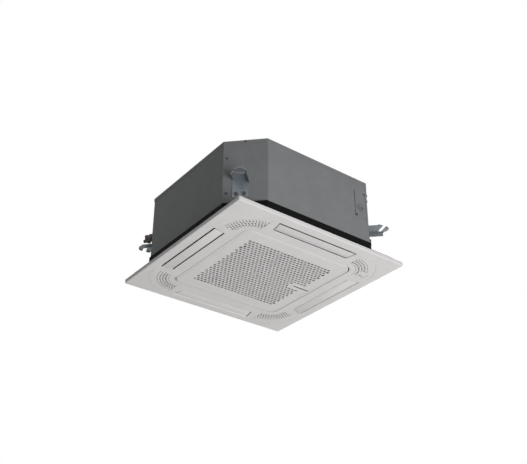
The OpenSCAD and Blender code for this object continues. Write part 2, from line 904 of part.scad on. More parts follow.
module drain_pump() {
    color(soft_black) difference() {
        union() {
            translate([pump_x, pump_y, inlet_bottom]) cylinder(r = inlet_r, h = volute_z - inlet_bottom);
            translate([pump_x, pump_y, volute_z]) cylinder(r = volute_r, h = volute_h);
            translate([pump_x, pump_y, volute_z + volute_h])
                cylinder(r = pump_motor_r, h = pump_motor_h);
            translate([drain_x, pump_y, nozzle_z]) rotate([-90, 0, 0])
                cylinder(r = nozzle_r, h = volute_r + nozzle_len);
            for (x = [-1, 1])
                translate([pump_x + x * volute_r / 2, (suction_half + trough_in) / 2, pan_h])
                    cylinder(r = foot_r, h = volute_h);
            on_corner(2) translate([pump_u, pump_v - arm_w / 2, volute_z])
                cube([arm_out, arm_w, foot_r]);
            on_corner(2) translate([pump_u + arm_out - foot_r, pump_v - arm_w / 2, pan_h])
                cube([foot_r, arm_w, volute_z - pan_h + foot_r]);
        }
        translate([pump_x, pump_y, inlet_bottom - over])
            cylinder(r = inlet_r - inlet_wall, h = volute_z - inlet_bottom + over);
        translate([pump_x, pump_y, inlet_bottom])
            cylinder(r = impeller_shaft_r + run_fit, h = volute_z + volute_h - inlet_bottom);
        translate([drain_x, pump_y + volute_r / 2, nozzle_z]) rotate([-90, 0, 0])
            cylinder(r = nozzle_r - nozzle_wall, h = volute_r + nozzle_len);
    }
}

module pump_impeller() {
    color(panel_white) translate([pump_x, pump_y, inlet_bottom + vane_t]) {
        cylinder(r = impeller_shaft_r, h = volute_z + volute_h / 2 - inlet_bottom);
        for (a = [0, 90]) rotate([0, 0, a])
            translate([-impeller_r, -vane_t / 2, 0])
                cube([2 * impeller_r, vane_t, volute_z - inlet_bottom - 2 * vane_t - side_fit]);
    }
}

module float_guide() {
    cap_z = trough_floor + 2 * vane_t + float_h + float_stroke + side_fit;
    color(panel_white) translate([float_x, pump_y, 0]) {
        slab(trough_floor, trough_floor + vane_t) circle(float_r - guide_r);
        slab(trough_floor, cap_z + guide_r) circle(guide_r);
        slab(cap_z, cap_z + guide_r) circle(guide_r + vane_t);
    }
}

module pump_float() {
    color(soft_black) translate([float_x, pump_y, trough_floor + vane_t + side_fit])
        tube(float_r, float_r - guide_r - side_fit, float_h);
}

module hose_path(r) {
    translate([drain_x, hose_start, nozzle_z + hose_bend]) rotate([0, 90, 0])
        rotate_extrude(angle = 90) translate([hose_bend, 0]) circle(r);
    translate([drain_x, hose_y, nozzle_z + hose_bend])
        cylinder(r = r, h = drain_z - nozzle_z - 2 * hose_bend);
    translate([drain_x, hose_y + hose_bend, drain_z - hose_bend]) rotate([0, -90, 0]) rotate([0, 0, -90])
        rotate_extrude(angle = 90) translate([hose_bend, 0]) circle(r);
}

module drain_hose() {
    color(soft_black) difference() {
        hose_path(hose_r);
        hose_path(hose_r - hose_wall);
    }
}

module drain_socket() {
    start = hose_y + hose_bend;
    color(panel_white) translate([drain_x, 0, drain_z]) rotate([-90, 0, 0]) {
        translate([0, 0, start]) tube(drain_r, drain_t, body_half - start + drain_stick_out);
        translate([0, 0, body_half]) tube(drain_flange_r, drain_flange_r - drain_r, drain_t);
    }
}

// Control box in the suction space
box_t = 1.2;
box_w = 34;
box_len = 240;
box_bottom = 4;
box_top = ledge_z - ledge_t;
box_x = suction_half - box_w;
board_t = 1.6;
board_post_r = 2;
terminal_len = 60;

module control_box() {
    color(zinc) difference() {
        translate([box_x, -box_len / 2, box_bottom]) cube([box_w, box_len, box_top - box_bottom]);
        translate([box_x + box_t, -box_len / 2 + box_t, box_bottom - over])
            cube([box_w - 2 * box_t, box_len - 2 * box_t, box_top - box_bottom - box_t + over]);
    }
}

module control_cover() {
    color(zinc) translate([box_x, -box_len / 2, box_bottom - box_t])
        cube([box_w, box_len, box_t]);
}

module circuit_board() {
    margin = 2 * box_t;
    top = box_top - box_t;
    color(board_green) {
        translate([box_x + margin, margin - box_len / 2, top - 3 * board_post_r])
            cube([box_w - 2 * margin, box_len - terminal_len - 2 * margin, board_t]);
        for (y = [2 * margin - box_len / 2, box_len / 2 - terminal_len - 2 * margin])
            translate([box_x + box_w / 2, y, top - 3 * board_post_r])
                cylinder(r = board_post_r, h = 3 * board_post_r);
    }
}

module terminal_block() {
    margin = 2 * box_t;
    depth = (box_top - box_bottom) / 2;
    color(panel_white) difference() {
        translate([box_x + margin, box_len / 2 - terminal_len, box_top - box_t - depth])
            cube([box_w - 2 * margin, terminal_len - margin, depth]);
        for (k = [1 : 5], x = [1, 3])
            translate([box_x + box_w * x / 4, box_len / 2 - terminal_len + k * terminal_len / 6, 0])
                cylinder(r = board_post_r, h = box_top - box_t - depth / 2);
    }
}

sensor_r = 3;
sensor_len = 26;
sensor_at = 132;

module air_sensor() {
    color(soft_black) on_quadrant(3) {
        translate([sensor_at, sensor_at, ledge_z - 4 * sensor_r])
            translate([-sensor_len / 2, 0, 0]) rod_x(sensor_r, 0, sensor_len);
        translate([sensor_at - sensor_r, sensor_at - sensor_r, ledge_z - 4 * sensor_r])
            cube([2 * sensor_r, 2 * sensor_r, 4 * sensor_r]);
    }
}

// Ceiling panel
duct_t = 2;
duct_kink = 5;
end_wall_t = panel_t;
hole_half = grille_half + grille_gap;
corner_ease = 4.5;
hole_r = grille_r - corner_ease;
collar_t = 2.5;
shelf_t = 1.8;
shelf_half = suction_half + 2;
corner_middle = grille_half - grille_r;
cover_gap = 22;
cover_side = slot_len / 2 + cover_gap - corner_middle;
boss_wall_r = 9;
screw_sink_r = 6;
sink_z = z_plate + 7;
hinge_x = grille_half - 7;
hinge_rise = 1;
hinge_z = z_plate + hinge_rise;
ear_r = 2.4;
ear_w = 4;
ear_y = 130;

module duct_section(grow) {
    top = grow > 0 ? frame_top : over;
    low = grow > 0 ? z_face : z_face - over;
    polygon([
        [slot_in - grow, low], [slot_out + grow, low],
        [slot_out + grow, z_face + duct_kink], [outlet_out + grow, top],
        [outlet_in - grow, top], [slot_in - grow, z_face + duct_kink]
    ]);
}

function slot_half(out) = slot_len / 2 - slot_slant * (slot_out - out) / (slot_out - slot_in);

// Upright block over the front louver opening, with its slanted ends
module slot_block(grow) {
    slab(z_face - over, over) polygon([
        [-slot_half(suction_half) - grow, -suction_half], [-slot_half(panel_half) - grow, -panel_half],
        [slot_half(panel_half) + grow, -panel_half], [slot_half(suction_half) + grow, -suction_half]
    ]);
}

// Duct of the front louver, or its opening where grow is 0
module duct(grow, end) {
    intersection() {
        rotate([0, 0, -90]) translate([0, slot_len, 0]) rotate([90, 0, 0])
            linear_extrude(2 * slot_len) duct_section(grow);
        slot_block(end);
    }
}

module cover_outline(in, out, side) {
    intersection() {
        difference() {
            circle(out);
            circle(in);
        }
        translate([side, side]) square(out);
    }
}

module panel_frame() {
    color(panel_white) difference() {
        union() {
            translate([0, 0, z_face]) bevel_plate(panel_half, panel_r, panel_bevel, panel_t);
            slab(z_plate, z_rim) difference() {
                round_square(panel_half, panel_r);
                round_square(panel_half - rim_w, gasket_r - rim_w / 2);
            }
            slab(z_plate, frame_top) square_ring(hole_half + collar_t, hole_r + collar_t, collar_t);
            slab(frame_top - shelf_t, frame_top) square_ring(hole_half + collar_t, hole_r + collar_t, hole_half + collar_t - shelf_half);
            for (i = [0 : 3]) {
                on_side(i) duct(duct_t, end_wall_t);
                on_quadrant(i) translate([panel_screw_at, panel_screw_at, z_plate])
                    cylinder(r = boss_wall_r, h = frame_top - z_plate);
            }
            for (y = [-1, 1])
                translate([-hinge_x, y * ear_y + ear_w / 2, 0]) rotate([90, 0, 0])
                    linear_extrude(ear_w) {
                        translate([0, hinge_z]) circle(ear_r);
                        translate([-hinge_pin_r, hinge_z]) square([hinge_pin_r + ear_r, frame_top - hinge_z]);
                    }
        }
        slab(z_face - over, z_plate + over) round_square(hole_half, hole_r);
        for (i = [0 : 3]) {
            on_side(i) duct(0, 0);
            on_side(i) translate([-slot_len / 2 - end_wall_t - over, -pivot_out, z_pivot])
                rod_x(pin_r + run_fit, 0, slot_len + 2 * end_wall_t + 2 * over);
            on_quadrant(i) {
                translate([corner_middle, corner_middle, 0]) slab(z_face - over, z_face + cover_t)
                    cover_outline(cover_in - side_fit, cover_out + side_fit, cover_side - side_fit);
                translate([panel_screw_at, panel_screw_at, z_face - over]) {
                    cylinder(r = screw_sink_r, h = sink_z - z_face + over);
                    cylinder(r = panel_screw_r + run_fit, h = -z_face + 2 * over);
                }
            }
        }
        for (y = [-1, 1])
            translate([-hinge_x, y * ear_y + ear_w, hinge_z]) rotate([90, 0, 0])
                cylinder(r = hinge_pin_r + run_fit, h = 2 * ear_w);
    }
}

module panel_gasket() {
    color(foam) slab(z_rim, 0)
        square_ring(panel_half - gasket_t + over, gasket_r, gasket_w);
}

module panel_screws() {
    color(zinc) for (i = [0 : 3])
        on_quadrant(i) translate([panel_screw_at, panel_screw_at, sink_z]) {
            translate([0, 0, -panel_t]) cylinder(r = screw_sink_r - side_fit, h = panel_t);
            cylinder(r = panel_screw_r, h = panel_screw_len - sink_z - over);
        }
}

// Corner covers with a fading field of dimples
quarter = 90;
dimple_depth = cover_t / 2;
dimple_shares = [0.7, 1, 0.9, 0.7, 0.45];
window_w = 28.5;
window_len = 30;
window_side = 1.5;
window_out = 67.5;

// Frame of the receiver window in its corner's quadrant
module window_frame() {
    translate([corner_middle + cover_side + window_side, corner_middle + window_out, 0]) children();
}

module corner_cover(i) {
    color(panel_white) on_quadrant(i) difference() {
        translate([corner_middle, corner_middle, 0])
            slab(z_face, z_face + cover_t) cover_outline(cover_in, cover_out, cover_side);
        for (k = [0 : len(dimple_shares) - 1]) {
            r = cover_in + dimple_pitch * (k + 0.75);
            n = floor(r * PI / 2 / dimple_pitch);
            for (j = [0 : n - 1])
                translate([corner_middle, corner_middle, 0])
                    rotate([0, 0, quarter * (j + 0.5) / n])
                        if (on_cover(r, quarter * (j + 0.5) / n) && !in_window(i, r, quarter * (j + 0.5) / n))
                            translate([r, 0, z_face - over])
                                cylinder(d = dimple_d * dimple_shares[k], h = dimple_depth + over, $fn = 24);
        }
        if (i == 0)
            window_frame() translate([-side_fit, -side_fit, z_face - over])
                cube([window_len + 2 * side_fit, window_w + 2 * side_fit, cover_t + 2 * over]);
    }
}

function on_cover(r, a) = r * min(cos(a), sin(a)) > cover_side + dimple_d;

function in_window(i, r, a) = i == 0
    && r * cos(a) < cover_side + window_side + window_len + dimple_d
    && r * sin(a) > window_out - dimple_d
    && r * sin(a) < window_out + window_w + dimple_d;

module receiver_window() {
    color(soft_black) on_quadrant(0) window_frame() translate([0, 0, z_face])
        cube([window_len, window_w, cover_t]);
}

// Louvers: each is a thin curved blade with an arm and a pin at each end
blade_in_gap = 3.5;
blade_out_gap = 4.5;
blade_end_gap = 2.5;
arm_t = 2;
blade_half = slot_half(slot_in) - blade_end_gap;
blade_from = slot_in + blade_in_gap;
blade_to = slot_out - blade_out_gap;
blade_arc_r = ((blade_to - blade_from) ^ 2 / 4 + blade_crown ^ 2) / (2 * blade_crown);

module blade_section() {
    middle = (blade_from + blade_to) / 2;
    intersection() {
        translate([middle, z_face + blade_arc_r]) difference() {
            circle(blade_arc_r, $fn = 180);
            circle(blade_arc_r - blade_t, $fn = 180);
        }
        translate([blade_from, z_face]) square([blade_to - blade_from, blade_t + blade_crown]);
    }
}

module louver(i) {
    color(panel_white) on_side(i) {
        intersection() {
            rotate([0, 0, -90]) translate([0, slot_len, 0]) rotate([90, 0, 0])
                linear_extrude(2 * slot_len) blade_section();
            slot_block(-blade_end_gap);
        }
        for (s = [-1, 1])
            rotate([0, 0, -90]) translate([0, s * (blade_half - arm_t / 2) + arm_t / 2, 0])
                rotate([90, 0, 0]) linear_extrude(arm_t) {
                    translate([pivot_out, z_pivot]) circle(pin_r + arm_t);
                    polygon([
                        [pivot_out - pin_r - arm_t, z_pivot], [pivot_out + pin_r + arm_t, z_pivot],
                        [pivot_out + 4 * pin_r, z_face + blade_t], [pivot_out - 3 * pin_r, z_face + blade_t]
                    ]);
                }
        translate([0, -pivot_out, z_pivot]) {
            rod_x(pin_r, blade_half, lm_at + pin_r);
            rod_x(pin_r, -slot_len / 2 - end_wall_t, -blade_half);
        }
    }
}

module louver_motors() {
    color(soft_black) for (i = [0 : 3])
        on_side(i) difference() {
            translate([0, -pivot_out, 0]) rod_x(lm_r, lm_at, lm_at + lm_len);
            translate([0, -pivot_out, z_pivot])
                rod_x(pin_r + run_fit, lm_at - over, lm_at + pin_r + over);
        }
}

// Suction grille with its latch and filter
grille_bevel = 2;
z_grille = z_face + grille_t;
stagger = 0.5;
field_pitch = field_w / field_rows;
pad_x = 118;
pad_half = 17;
groove_w = 1.2;
groove_depth = 0.6;
latch_slot_w = 3;
latch_slot_x = grille_half - latch_slot_len - 11;
latch_w = 16;
latch_t = 2.2;
latch_len = 64;
knob_len = 18;
rail_h = 3;
rail_t = 2;
rail_half = latch_w / 2 + side_fit;
filter_half = suction_half;
filter_wall = 8;
filter_h = 6;
filter_rib = 2;
mesh_t = 0.8;
z_latch = z_grille + side_fit;
tongue_gap = 9;
tongue_end = hole_half - tongue_gap;

function in_pad(x, y) = x > pad_x - hole_len / 2 && abs(y) < pad_half;

module field_holes() {
    for (row = [0 : field_rows - 1], col = [0 : field_rows - 1]) {
        y = (row - (field_rows - 1) / 2) * field_pitch;
        x = (col - (field_rows - 1) / 2 + (row % 2 - stagger) * stagger) * field_pitch;
        if (!in_pad(x, y))
            translate([x - hole_len / 2, y - hole_w / 2]) square([hole_len, hole_w]);
    }
}

module suction_grille() {
    color(panel_white) difference() {
        union() {
            translate([0, 0, z_face]) bevel_plate(grille_half, grille_r, grille_bevel, grille_t);
            for (y = [-1, 1]) {
                translate([latch_slot_x, y * (rail_half + rail_t / 2) - rail_t / 2, z_grille])
                    cube([latch_slot_len, rail_t, rail_h]);
                translate([-hinge_x, 0, 0]) mirror([0, y < 0 ? 1 : 0, 0]) hinge_lug();
            }
        }
        slab(z_face - over, z_grille + over) field_holes();
        for (y = [-1, 1])
            translate([-hinge_x - ear_r - side_fit, y * ear_y - ear_w / 2 - side_fit, hinge_z - ear_r - side_fit])
                cube([2 * (ear_r + side_fit), ear_w + 2 * side_fit, ear_r + side_fit]);
        translate([latch_slot_x, -latch_slot_w / 2, z_face - over])
            cube([latch_slot_len, latch_slot_w, grille_t + 2 * over]);
        slab(z_face - over, z_face + groove_depth)
            square_ring(grille_half - 4 * grille_bevel, grille_r - 4 * grille_bevel, groove_w);
    }
}

// Lug beside the panel's ear, with the hinge pin that turns in it
module hinge_lug() {
    lug_y = ear_y + ear_w / 2 + side_fit;
    translate([0, lug_y + ear_w, 0]) rotate([90, 0, 0]) linear_extrude(ear_w) {
        translate([0, hinge_z]) circle(ear_r);
        translate([-ear_r, z_grille]) square([2 * ear_r, hinge_z - z_grille]);
    }
    translate([0, lug_y, hinge_z]) rotate([90, 0, 0])
        cylinder(r = hinge_pin_r, h = ear_w + side_fit);
}

module grille_latch() {
    color(soft_black) {
        translate([tongue_end - latch_len, -latch_w / 2, z_latch])
            cube([latch_len - grille_bevel * 2, latch_w, latch_t]);
        translate([tongue_end - latch_len / 2, -latch_w / 4, z_latch])
            cube([latch_len / 2, latch_w / 2, latch_t]);
        translate([tongue_end - latch_len / 2 - knob_len / 2, side_fit - latch_slot_w / 2, z_face + side_fit])
            cube([knob_len, latch_slot_w - 2 * side_fit, z_latch - z_face]);
    }
}

module filter_frame() {
    z_rib = z_grille + filter_h - mesh_t - filter_rib;
    color(soft_black) difference() {
        union() {
            slab(z_grille, z_grille + filter_h) square_ring(filter_half, grille_r, filter_wall);
            slab(z_rib, z_rib + filter_rib) intersection() {
                round_square(filter_half - filter_wall / 2, grille_r);
                for (k = [-2 : 2], turn = [0, 90])
                    rotate(turn) translate([k * filter_half / 3 - filter_rib / 2, -filter_half])
                        square([filter_rib, 2 * filter_half]);
            }
        }
        translate([filter_half - 2 * filter_wall, -rail_half - rail_t - side_fit, z_grille - over])
            cube([3 * filter_wall, 2 * (rail_half + rail_t + side_fit), rail_h + side_fit + over]);
    }
}

module filter_mesh() {
    color(panel_white) slab(z_grille + filter_h - mesh_t, z_grille + filter_h)
        round_square(filter_half - filter_wall, grille_r - filter_wall);
}

top_plate();
wall(0);  // wall_front
wall(1);  // wall_right
wall(2);  // wall_back
wall(3);  // wall_left
body_screws();
foam_liner();
wiring_cover();
hanger_bracket(0);  // hanger_bracket_right
hanger_bracket(1);  // hanger_bracket_far
hanger_bracket(2);  // hanger_bracket_left
hanger_bracket(3);  // hanger_bracket_near
bracket_bolts();
drain_pan();
bell_mouth();
fan_wheel();
motor_shaft();
fan_nut();
fan_motor();
motor_studs();
motor_grommets();
motor_nuts();
coil_fins();
tube_sheets();
coil_bends();
gas_header();
liquid_header();
gas_pipe();
liquid_pipe();
flare_unions();
pipe_plate();
drain_pump();
pump_impeller();
float_guide();
pump_float();
drain_hose();
drain_socket();
control_box();
control_cover();
circuit_board();
terminal_block();
air_sensor();
panel_frame();
panel_gasket();
corner_cover(0);  // corner_cover_right
corner_cover(1);  // corner_cover_far
corner_cover(2);  // corner_cover_left
corner_cover(3);  // corner_cover_near
louver(0);  // louver_front
louver(1);  // louver_right
louver(2);  // louver_back
louver(3);  // louver_left
louver_motors();
panel_screws();
suction_grille();
grille_latch();
filter_frame();
filter_mesh();
receiver_window();
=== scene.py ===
import json
import math

import bmesh
import bpy
import numpy as np
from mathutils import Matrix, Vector
from mathutils.geometry import delaunay_2d_cdt


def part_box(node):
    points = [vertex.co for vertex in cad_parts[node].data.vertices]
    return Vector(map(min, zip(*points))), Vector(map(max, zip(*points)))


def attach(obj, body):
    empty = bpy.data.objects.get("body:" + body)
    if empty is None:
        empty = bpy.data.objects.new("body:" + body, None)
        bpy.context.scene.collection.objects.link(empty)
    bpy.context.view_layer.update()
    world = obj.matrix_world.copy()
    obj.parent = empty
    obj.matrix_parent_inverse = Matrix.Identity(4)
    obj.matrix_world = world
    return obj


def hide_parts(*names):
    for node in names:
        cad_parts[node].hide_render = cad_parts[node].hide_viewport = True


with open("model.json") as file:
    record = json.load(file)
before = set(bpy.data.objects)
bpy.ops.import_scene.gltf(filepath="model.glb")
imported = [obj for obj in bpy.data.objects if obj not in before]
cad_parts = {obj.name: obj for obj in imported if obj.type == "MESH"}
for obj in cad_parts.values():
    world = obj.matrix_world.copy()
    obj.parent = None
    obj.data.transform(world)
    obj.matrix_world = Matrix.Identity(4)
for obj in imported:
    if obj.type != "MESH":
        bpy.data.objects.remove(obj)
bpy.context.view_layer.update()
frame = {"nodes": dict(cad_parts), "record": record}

print("frame loaded:", len(frame["nodes"]), "CAD nodes")
mm = 0.001


# Small tools: colours, shader nodes and patterns

def hexLinear(code):  # sRGB hex to linear light, as the shader wants it
    c = np.array([int(code[i:i + 2], 16) for i in (0, 2, 4)]) / 255
    c = np.where(c <= 0.04045, c / 12.92, ((c + 0.055) / 1.055) ** 2.4)
    return (*c.tolist(), 1.0)


def addNode(tree, kind, settings, inputs):  # one shader node with its settings and links
    node = tree.nodes.new("ShaderNode" + kind)
    for name, value in settings.items():
        setattr(node, name, value)
    for name, value in inputs.items():
        if isinstance(value, bpy.types.NodeSocket):
            tree.links.new(value, node.inputs[name])
        else:
            node.inputs[name].default_value = value
    return node


def startFinish(name, colour, metallic, roughness, extra):  # plain numbers go on the shader's own sockets
    material = bpy.data.materials.new(name)
    material.use_nodes = True
    tree = material.node_tree
    tree.nodes.clear()
    place = addNode(tree, "TexCoord", {}, {}).outputs["Object"]
    shader = addNode(tree, "BsdfPrincipled", {}, {
        "Base Color": hexLinear(colour), "Metallic": metallic, "Roughness": roughness, **extra})
    addNode(tree, "OutputMaterial", {}, {"Surface": shader.outputs[0]})
    return material, tree, place, shader


def mottle(tree, place, size, low, high, detail=2.0):  # noise, its grains that many mm, from low to high
    noise = addNode(tree, "TexNoise", {}, {"Vector": place, "Scale": 1000 / size, "Detail": detail})
    spread = {"From Min": 0.32, "From Max": 0.68, "To Min": low, "To Max": high}  # noise keeps near 0.5
    return addNode(tree, "MapRange", {}, {"Value": noise.outputs[0], **spread}).outputs[0]


def stretched(tree, place, scale):  # the pattern's space, pulled along an axis where its scale is small
    return addNode(tree, "Mapping", {}, {"Vector": place, "Scale": scale}).outputs[0]


def twoTone(tree, share, first, second):
    return addNode(tree, "Mix", {"data_type": "RGBA"}, {
        0: share, 6: hexLinear(first), 7: hexLinear(second)}).outputs[2]


def relief(tree, height, depth, strength=1.0):  # bump of that depth in mm
    return addNode(tree, "Bump", {}, {
        "Height": height, "Distance": depth * mm, "Strength": strength}).outputs[0]


# Materials

def darkZincSheet():  # steel sheet, hot-dip coated and passivated: even dull grey, faint cloudy zinc grains
    material, tree, place, shader = startFinish(
        "darkZincSheet", "7B7D7E", 0.0, 0.6, {"Specular IOR Level": 0.12})
    cloud = mottle(tree, place, 55, 0.0, 1.0, 3.0)
    grain = addNode(tree, "TexVoronoi", {}, {"Vector": place, "Scale": 1000 / 9, "Randomness": 1.0})
    tone = addNode(tree, "Mix", {"data_type": "FLOAT"}, {
        0: 0.35, 2: cloud, 3: grain.outputs["Color"]}).outputs[0]
    tree.links.new(twoTone(tree, tone, "787A7B", "7F8182"), shader.inputs["Base Color"])
    tree.links.new(mottle(tree, place, 7, 0.52, 0.66), shader.inputs["Roughness"])
    tree.links.new(relief(tree, mottle(tree, place, 1.6, 0, 1), 0.006), shader.inputs["Normal"])
    return material


def brightZincPressing():  # thick steel, electro-galvanised after pressing: bluish grey, small faint grains
    material, tree, place, shader = startFinish("brightZincPressing", "7E868D", 0.45, 0.42, {})
    grain = addNode(tree, "TexVoronoi", {}, {"Vector": place, "Scale": 1000 / 2.5, "Randomness": 1.0})
    tree.links.new(twoTone(tree, grain.outputs["Color"], "767C82", "878D92"), shader.inputs["Base Color"])
    tree.links.new(mottle(tree, place, 4, 0.36, 0.5), shader.inputs["Roughness"])
    tree.links.new(relief(tree, mottle(tree, place, 0.8, 0, 1), 0.008), shader.inputs["Normal"])
    return material


def zincFastener():  # cold-headed steel, zinc plated: bright, slightly blue, fine scratches
    material, tree, place, shader = startFinish("zincFastener", "A9AFB3", 0.9, 0.32, {})
    scratch = mottle(tree, stretched(tree, place, (1, 1, 0.15)), 0.6, 0, 1)
    tree.links.new(twoTone(tree, scratch, "999FA4", "BCC1C4"), shader.inputs["Base Color"])
    tree.links.new(mottle(tree, place, 1.5, 0.24, 0.42), shader.inputs["Roughness"])
    return material


def mouldedPanel():  # high-impact polystyrene, moulded on a spark-eroded tool: matt grey-white, fine grain
    material, tree, place, shader = startFinish(
        "mouldedPanel", "D4D2D2", 0.0, 0.5, {"IOR": 1.5, "Specular IOR Level": 0.25})
    tree.links.new(twoTone(tree, mottle(tree, place, 90, 0, 1), "D2D0D0", "D6D4D4"),
                   shader.inputs["Base Color"])
    tree.links.new(mottle(tree, place, 2.5, 0.5, 0.62), shader.inputs["Roughness"])
    tree.links.new(relief(tree, mottle(tree, place, 0.9, 0, 1), 0.012), shader.inputs["Normal"])
    return material


def dimpleShade():  # the same plastic deep in the dimples, rougher and painted dark: painted shade for their depth
    material, tree, place, shader = startFinish(
        "dimpleShade", "4E4D4D", 0.0, 0.7, {"Specular IOR Level": 0.2})
    tree.links.new(twoTone(tree, mottle(tree, place, 3, 0, 1), "323131", "454444"),
                   shader.inputs["Base Color"])
    return material


def blackBeadFoam():  # expanded polystyrene, steam-moulded with graphite: near black, beads pressed together
    material, tree, place, shader = startFinish(
        "blackBeadFoam", "0A0A0B", 0.0, 0.9, {"Specular IOR Level": 0.12})
    bead = addNode(tree, "TexVoronoi", {"feature": "DISTANCE_TO_EDGE"}, {
        "Vector": place, "Scale": 1000 / 3.2})
    edge = addNode(tree, "MapRange", {}, {"Value": bead.outputs[0], "From Max": 0.12}).outputs[0]
    tree.links.new(twoTone(tree, edge, "040404", "0E0E0F"), shader.inputs["Base Color"])
    tree.links.new(relief(tree, edge, 0.12, 0.7), shader.inputs["Normal"])
    return material


def sealFoam():  # closed-cell polyethylene strip: black, soft and pitted
    material, tree, place, shader = startFinish(
        "sealFoam", "090909", 0.0, 0.9, {"Specular IOR Level": 0.12})
    pit = mottle(tree, place, 0.9, 0, 1, 3.0)
    tree.links.new(twoTone(tree, pit, "040404", "0E0E0E"), shader.inputs["Base Color"])
    tree.links.new(relief(tree, pit, 0.15), shader.inputs["Normal"])
    return material


def blackMoulding():  # glass-filled polypropylene, moulded: satin black with a grey bloom
    material, tree, place, shader = startFinish("blackMoulding", "1A1B1C", 0.0, 0.42, {"IOR": 1.49})
    tree.links.new(twoTone(tree, mottle(tree, place, 14, 0, 1, 3.0), "151617", "202122"),
                   shader.inputs["Base Color"])
    tree.links.new(mottle(tree, place, 3, 0.34, 0.52), shader.inputs["Roughness"])
    tree.links.new(relief(tree, mottle(tree, place, 0.7, 0, 1), 0.02), shader.inputs["Normal"])
    return material


def whiteNylon():  # polyamide, moulded: milky, a little light goes into it
    material, tree, place, shader = startFinish("whiteNylon", "D9D7CF", 0.0, 0.4, {
        "IOR": 1.53, "Subsurface Weight": 0.08, "Subsurface Radius": (0.004, 0.003, 0.002)})
    tree.links.new(twoTone(tree, mottle(tree, place, 11, 0, 1), "D3D0C7", "DFDDD6"),
                   shader.inputs["Base Color"])
    tree.links.new(mottle(tree, place, 2, 0.34, 0.48), shader.inputs["Roughness"])
    return material


def drawnCopper():  # soft copper tube, drawn: fine lines along it and brown clouds of heat near the brazing
    material, tree, place, shader = startFinish("drawnCopper", "B87552", 1.0, 0.3, {})
    cloud = mottle(tree, place, 16, 0, 1, 4.0)
    tree.links.new(twoTone(tree, cloud, "A0603F", "C98A66"), shader.inputs["Base Color"])
    tree.links.new(mottle(tree, place, 5, 0.22, 0.42), shader.inputs["Roughness"])
    return material


def finFoil():  # aluminium foil, rolled and coated blue-silver: bright, thin, slightly wavy
    material, tree, place, shader = startFinish("finFoil", "B4BABD", 0.85, 0.34, {})
    wave = mottle(tree, stretched(tree, place, (1, 1, 0.3)), 5, 0, 1)
    tree.links.new(twoTone(tree, wave, "A5ABAF", "C6CBCD"), shader.inputs["Base Color"])
    tree.links.new(relief(tree, wave, 0.05), shader.inputs["Normal"])
    return material


def coatedMotorShell():  # pressed steel can of the motor, zinc coated and turned while coated
    material, tree, place, shader = startFinish("coatedMotorShell", "8D9194", 0.8, 0.36, {})
    ring = mottle(tree, stretched(tree, place, (0.1, 0.1, 1)), 1.2, 0, 1)
    tree.links.new(twoTone(tree, ring, "7F8386", "A0A4A7"), shader.inputs["Base Color"])
    tree.links.new(mottle(tree, place, 6, 0.3, 0.44), shader.inputs["Roughness"])
    return material


def solderMask():  # glass-epoxy board under green solder mask: glossy, with faint copper tracks below it
    material, tree, place, shader = startFinish("solderMask", "1F5B3A", 0.0, 0.25, {"Coat Weight": 0.3})
    track = addNode(tree, "TexBrick", {"offset": 0.35}, {  # bricks of 8 mm, their joints are the tracks
        "Vector": place, "Scale": 120.0, "Mortar Size": 0.012, "Color1": hexLinear("1C5535"),
        "Color2": hexLinear("245F3E"), "Mortar": hexLinear("3E7D52")})
    tree.links.new(track.outputs["Color"], shader.inputs["Base Color"])
    return material


def smokedAcrylic():  # infrared window, moulded acrylic: almost black, clear gloss
    material, tree, place, shader = startFinish(
        "smokedAcrylic", "17130F", 0.0, 0.12, {"IOR": 1.49, "Coat Weight": 0.5})
    tree.links.new(twoTone(tree, mottle(tree, place, 9, 0, 1), "120F0C", "1E1915"),
                   shader.inputs["Base Color"])
    return material


def netThread():  # polypropylene net, knitted and heat-set: grey threads with a soft sheen
    material, tree, place, shader = startFinish("netThread", "747577", 0.0, 0.6, {"IOR": 1.49})
    tree.links.new(twoTone(tree, mottle(tree, place, 25, 0, 1, 3.0), "6D6E70", "7B7C7E"),
                   shader.inputs["Base Color"])
    return material


def blackenedScrew():  # cold-headed steel, phosphated and oiled: blue-black with a dull gleam
    material, tree, place, shader = startFinish("blackenedScrew", "43474C", 0.6, 0.42, {})
    tree.links.new(twoTone(tree, mottle(tree, place, 2, 0, 1), "393D42", "51565B"),
                   shader.inputs["Base Color"])
    tree.links.new(mottle(tree, place, 1.5, 0.34, 0.52), shader.inputs["Roughness"])
    return material


def greyRubber():  # ethylene rubber, moulded: mid grey, matt, a little dust
    material, tree, place, shader = startFinish(
        "greyRubber", "6C6E6F", 0.0, 0.75, {"Specular IOR Level": 0.25})
    tree.links.new(twoTone(tree, mottle(tree, place, 4, 0, 1, 3.0), "646667", "757778"),
                   shader.inputs["Base Color"])
    return material


def dullPlating():  # brass nuts and unions under tin plating gone dull: grey with a brown cast
    material, tree, place, shader = startFinish("dullPlating", "464542", 0.35, 0.5, {})
    tree.links.new(twoTone(tree, mottle(tree, place, 3, 0, 1), "3E3D3A", "504E4A"),
                   shader.inputs["Base Color"])
    tree.links.new(mottle(tree, place, 1.2, 0.34, 0.5), shader.inputs["Roughness"])
    return material


finishes = {f.__name__: f() for f in (
    darkZincSheet, brightZincPressing, zincFastener, mouldedPanel, dimpleShade, blackBeadFoam, sealFoam,
    blackMoulding, whiteNylon, drawnCopper, finFoil, coatedMotorShell, solderMask, smokedAcrylic, netThread,
    blackenedScrew, greyRubber, dullPlating)}
print("materials:", len(finishes))


# Surfaces

boxFaces = np.array([[0, 3, 2, 1], [4, 5, 6, 7], [0, 1, 5, 4], [1, 2, 6, 5], [2, 3, 7, 6], [3, 0, 4, 7]])


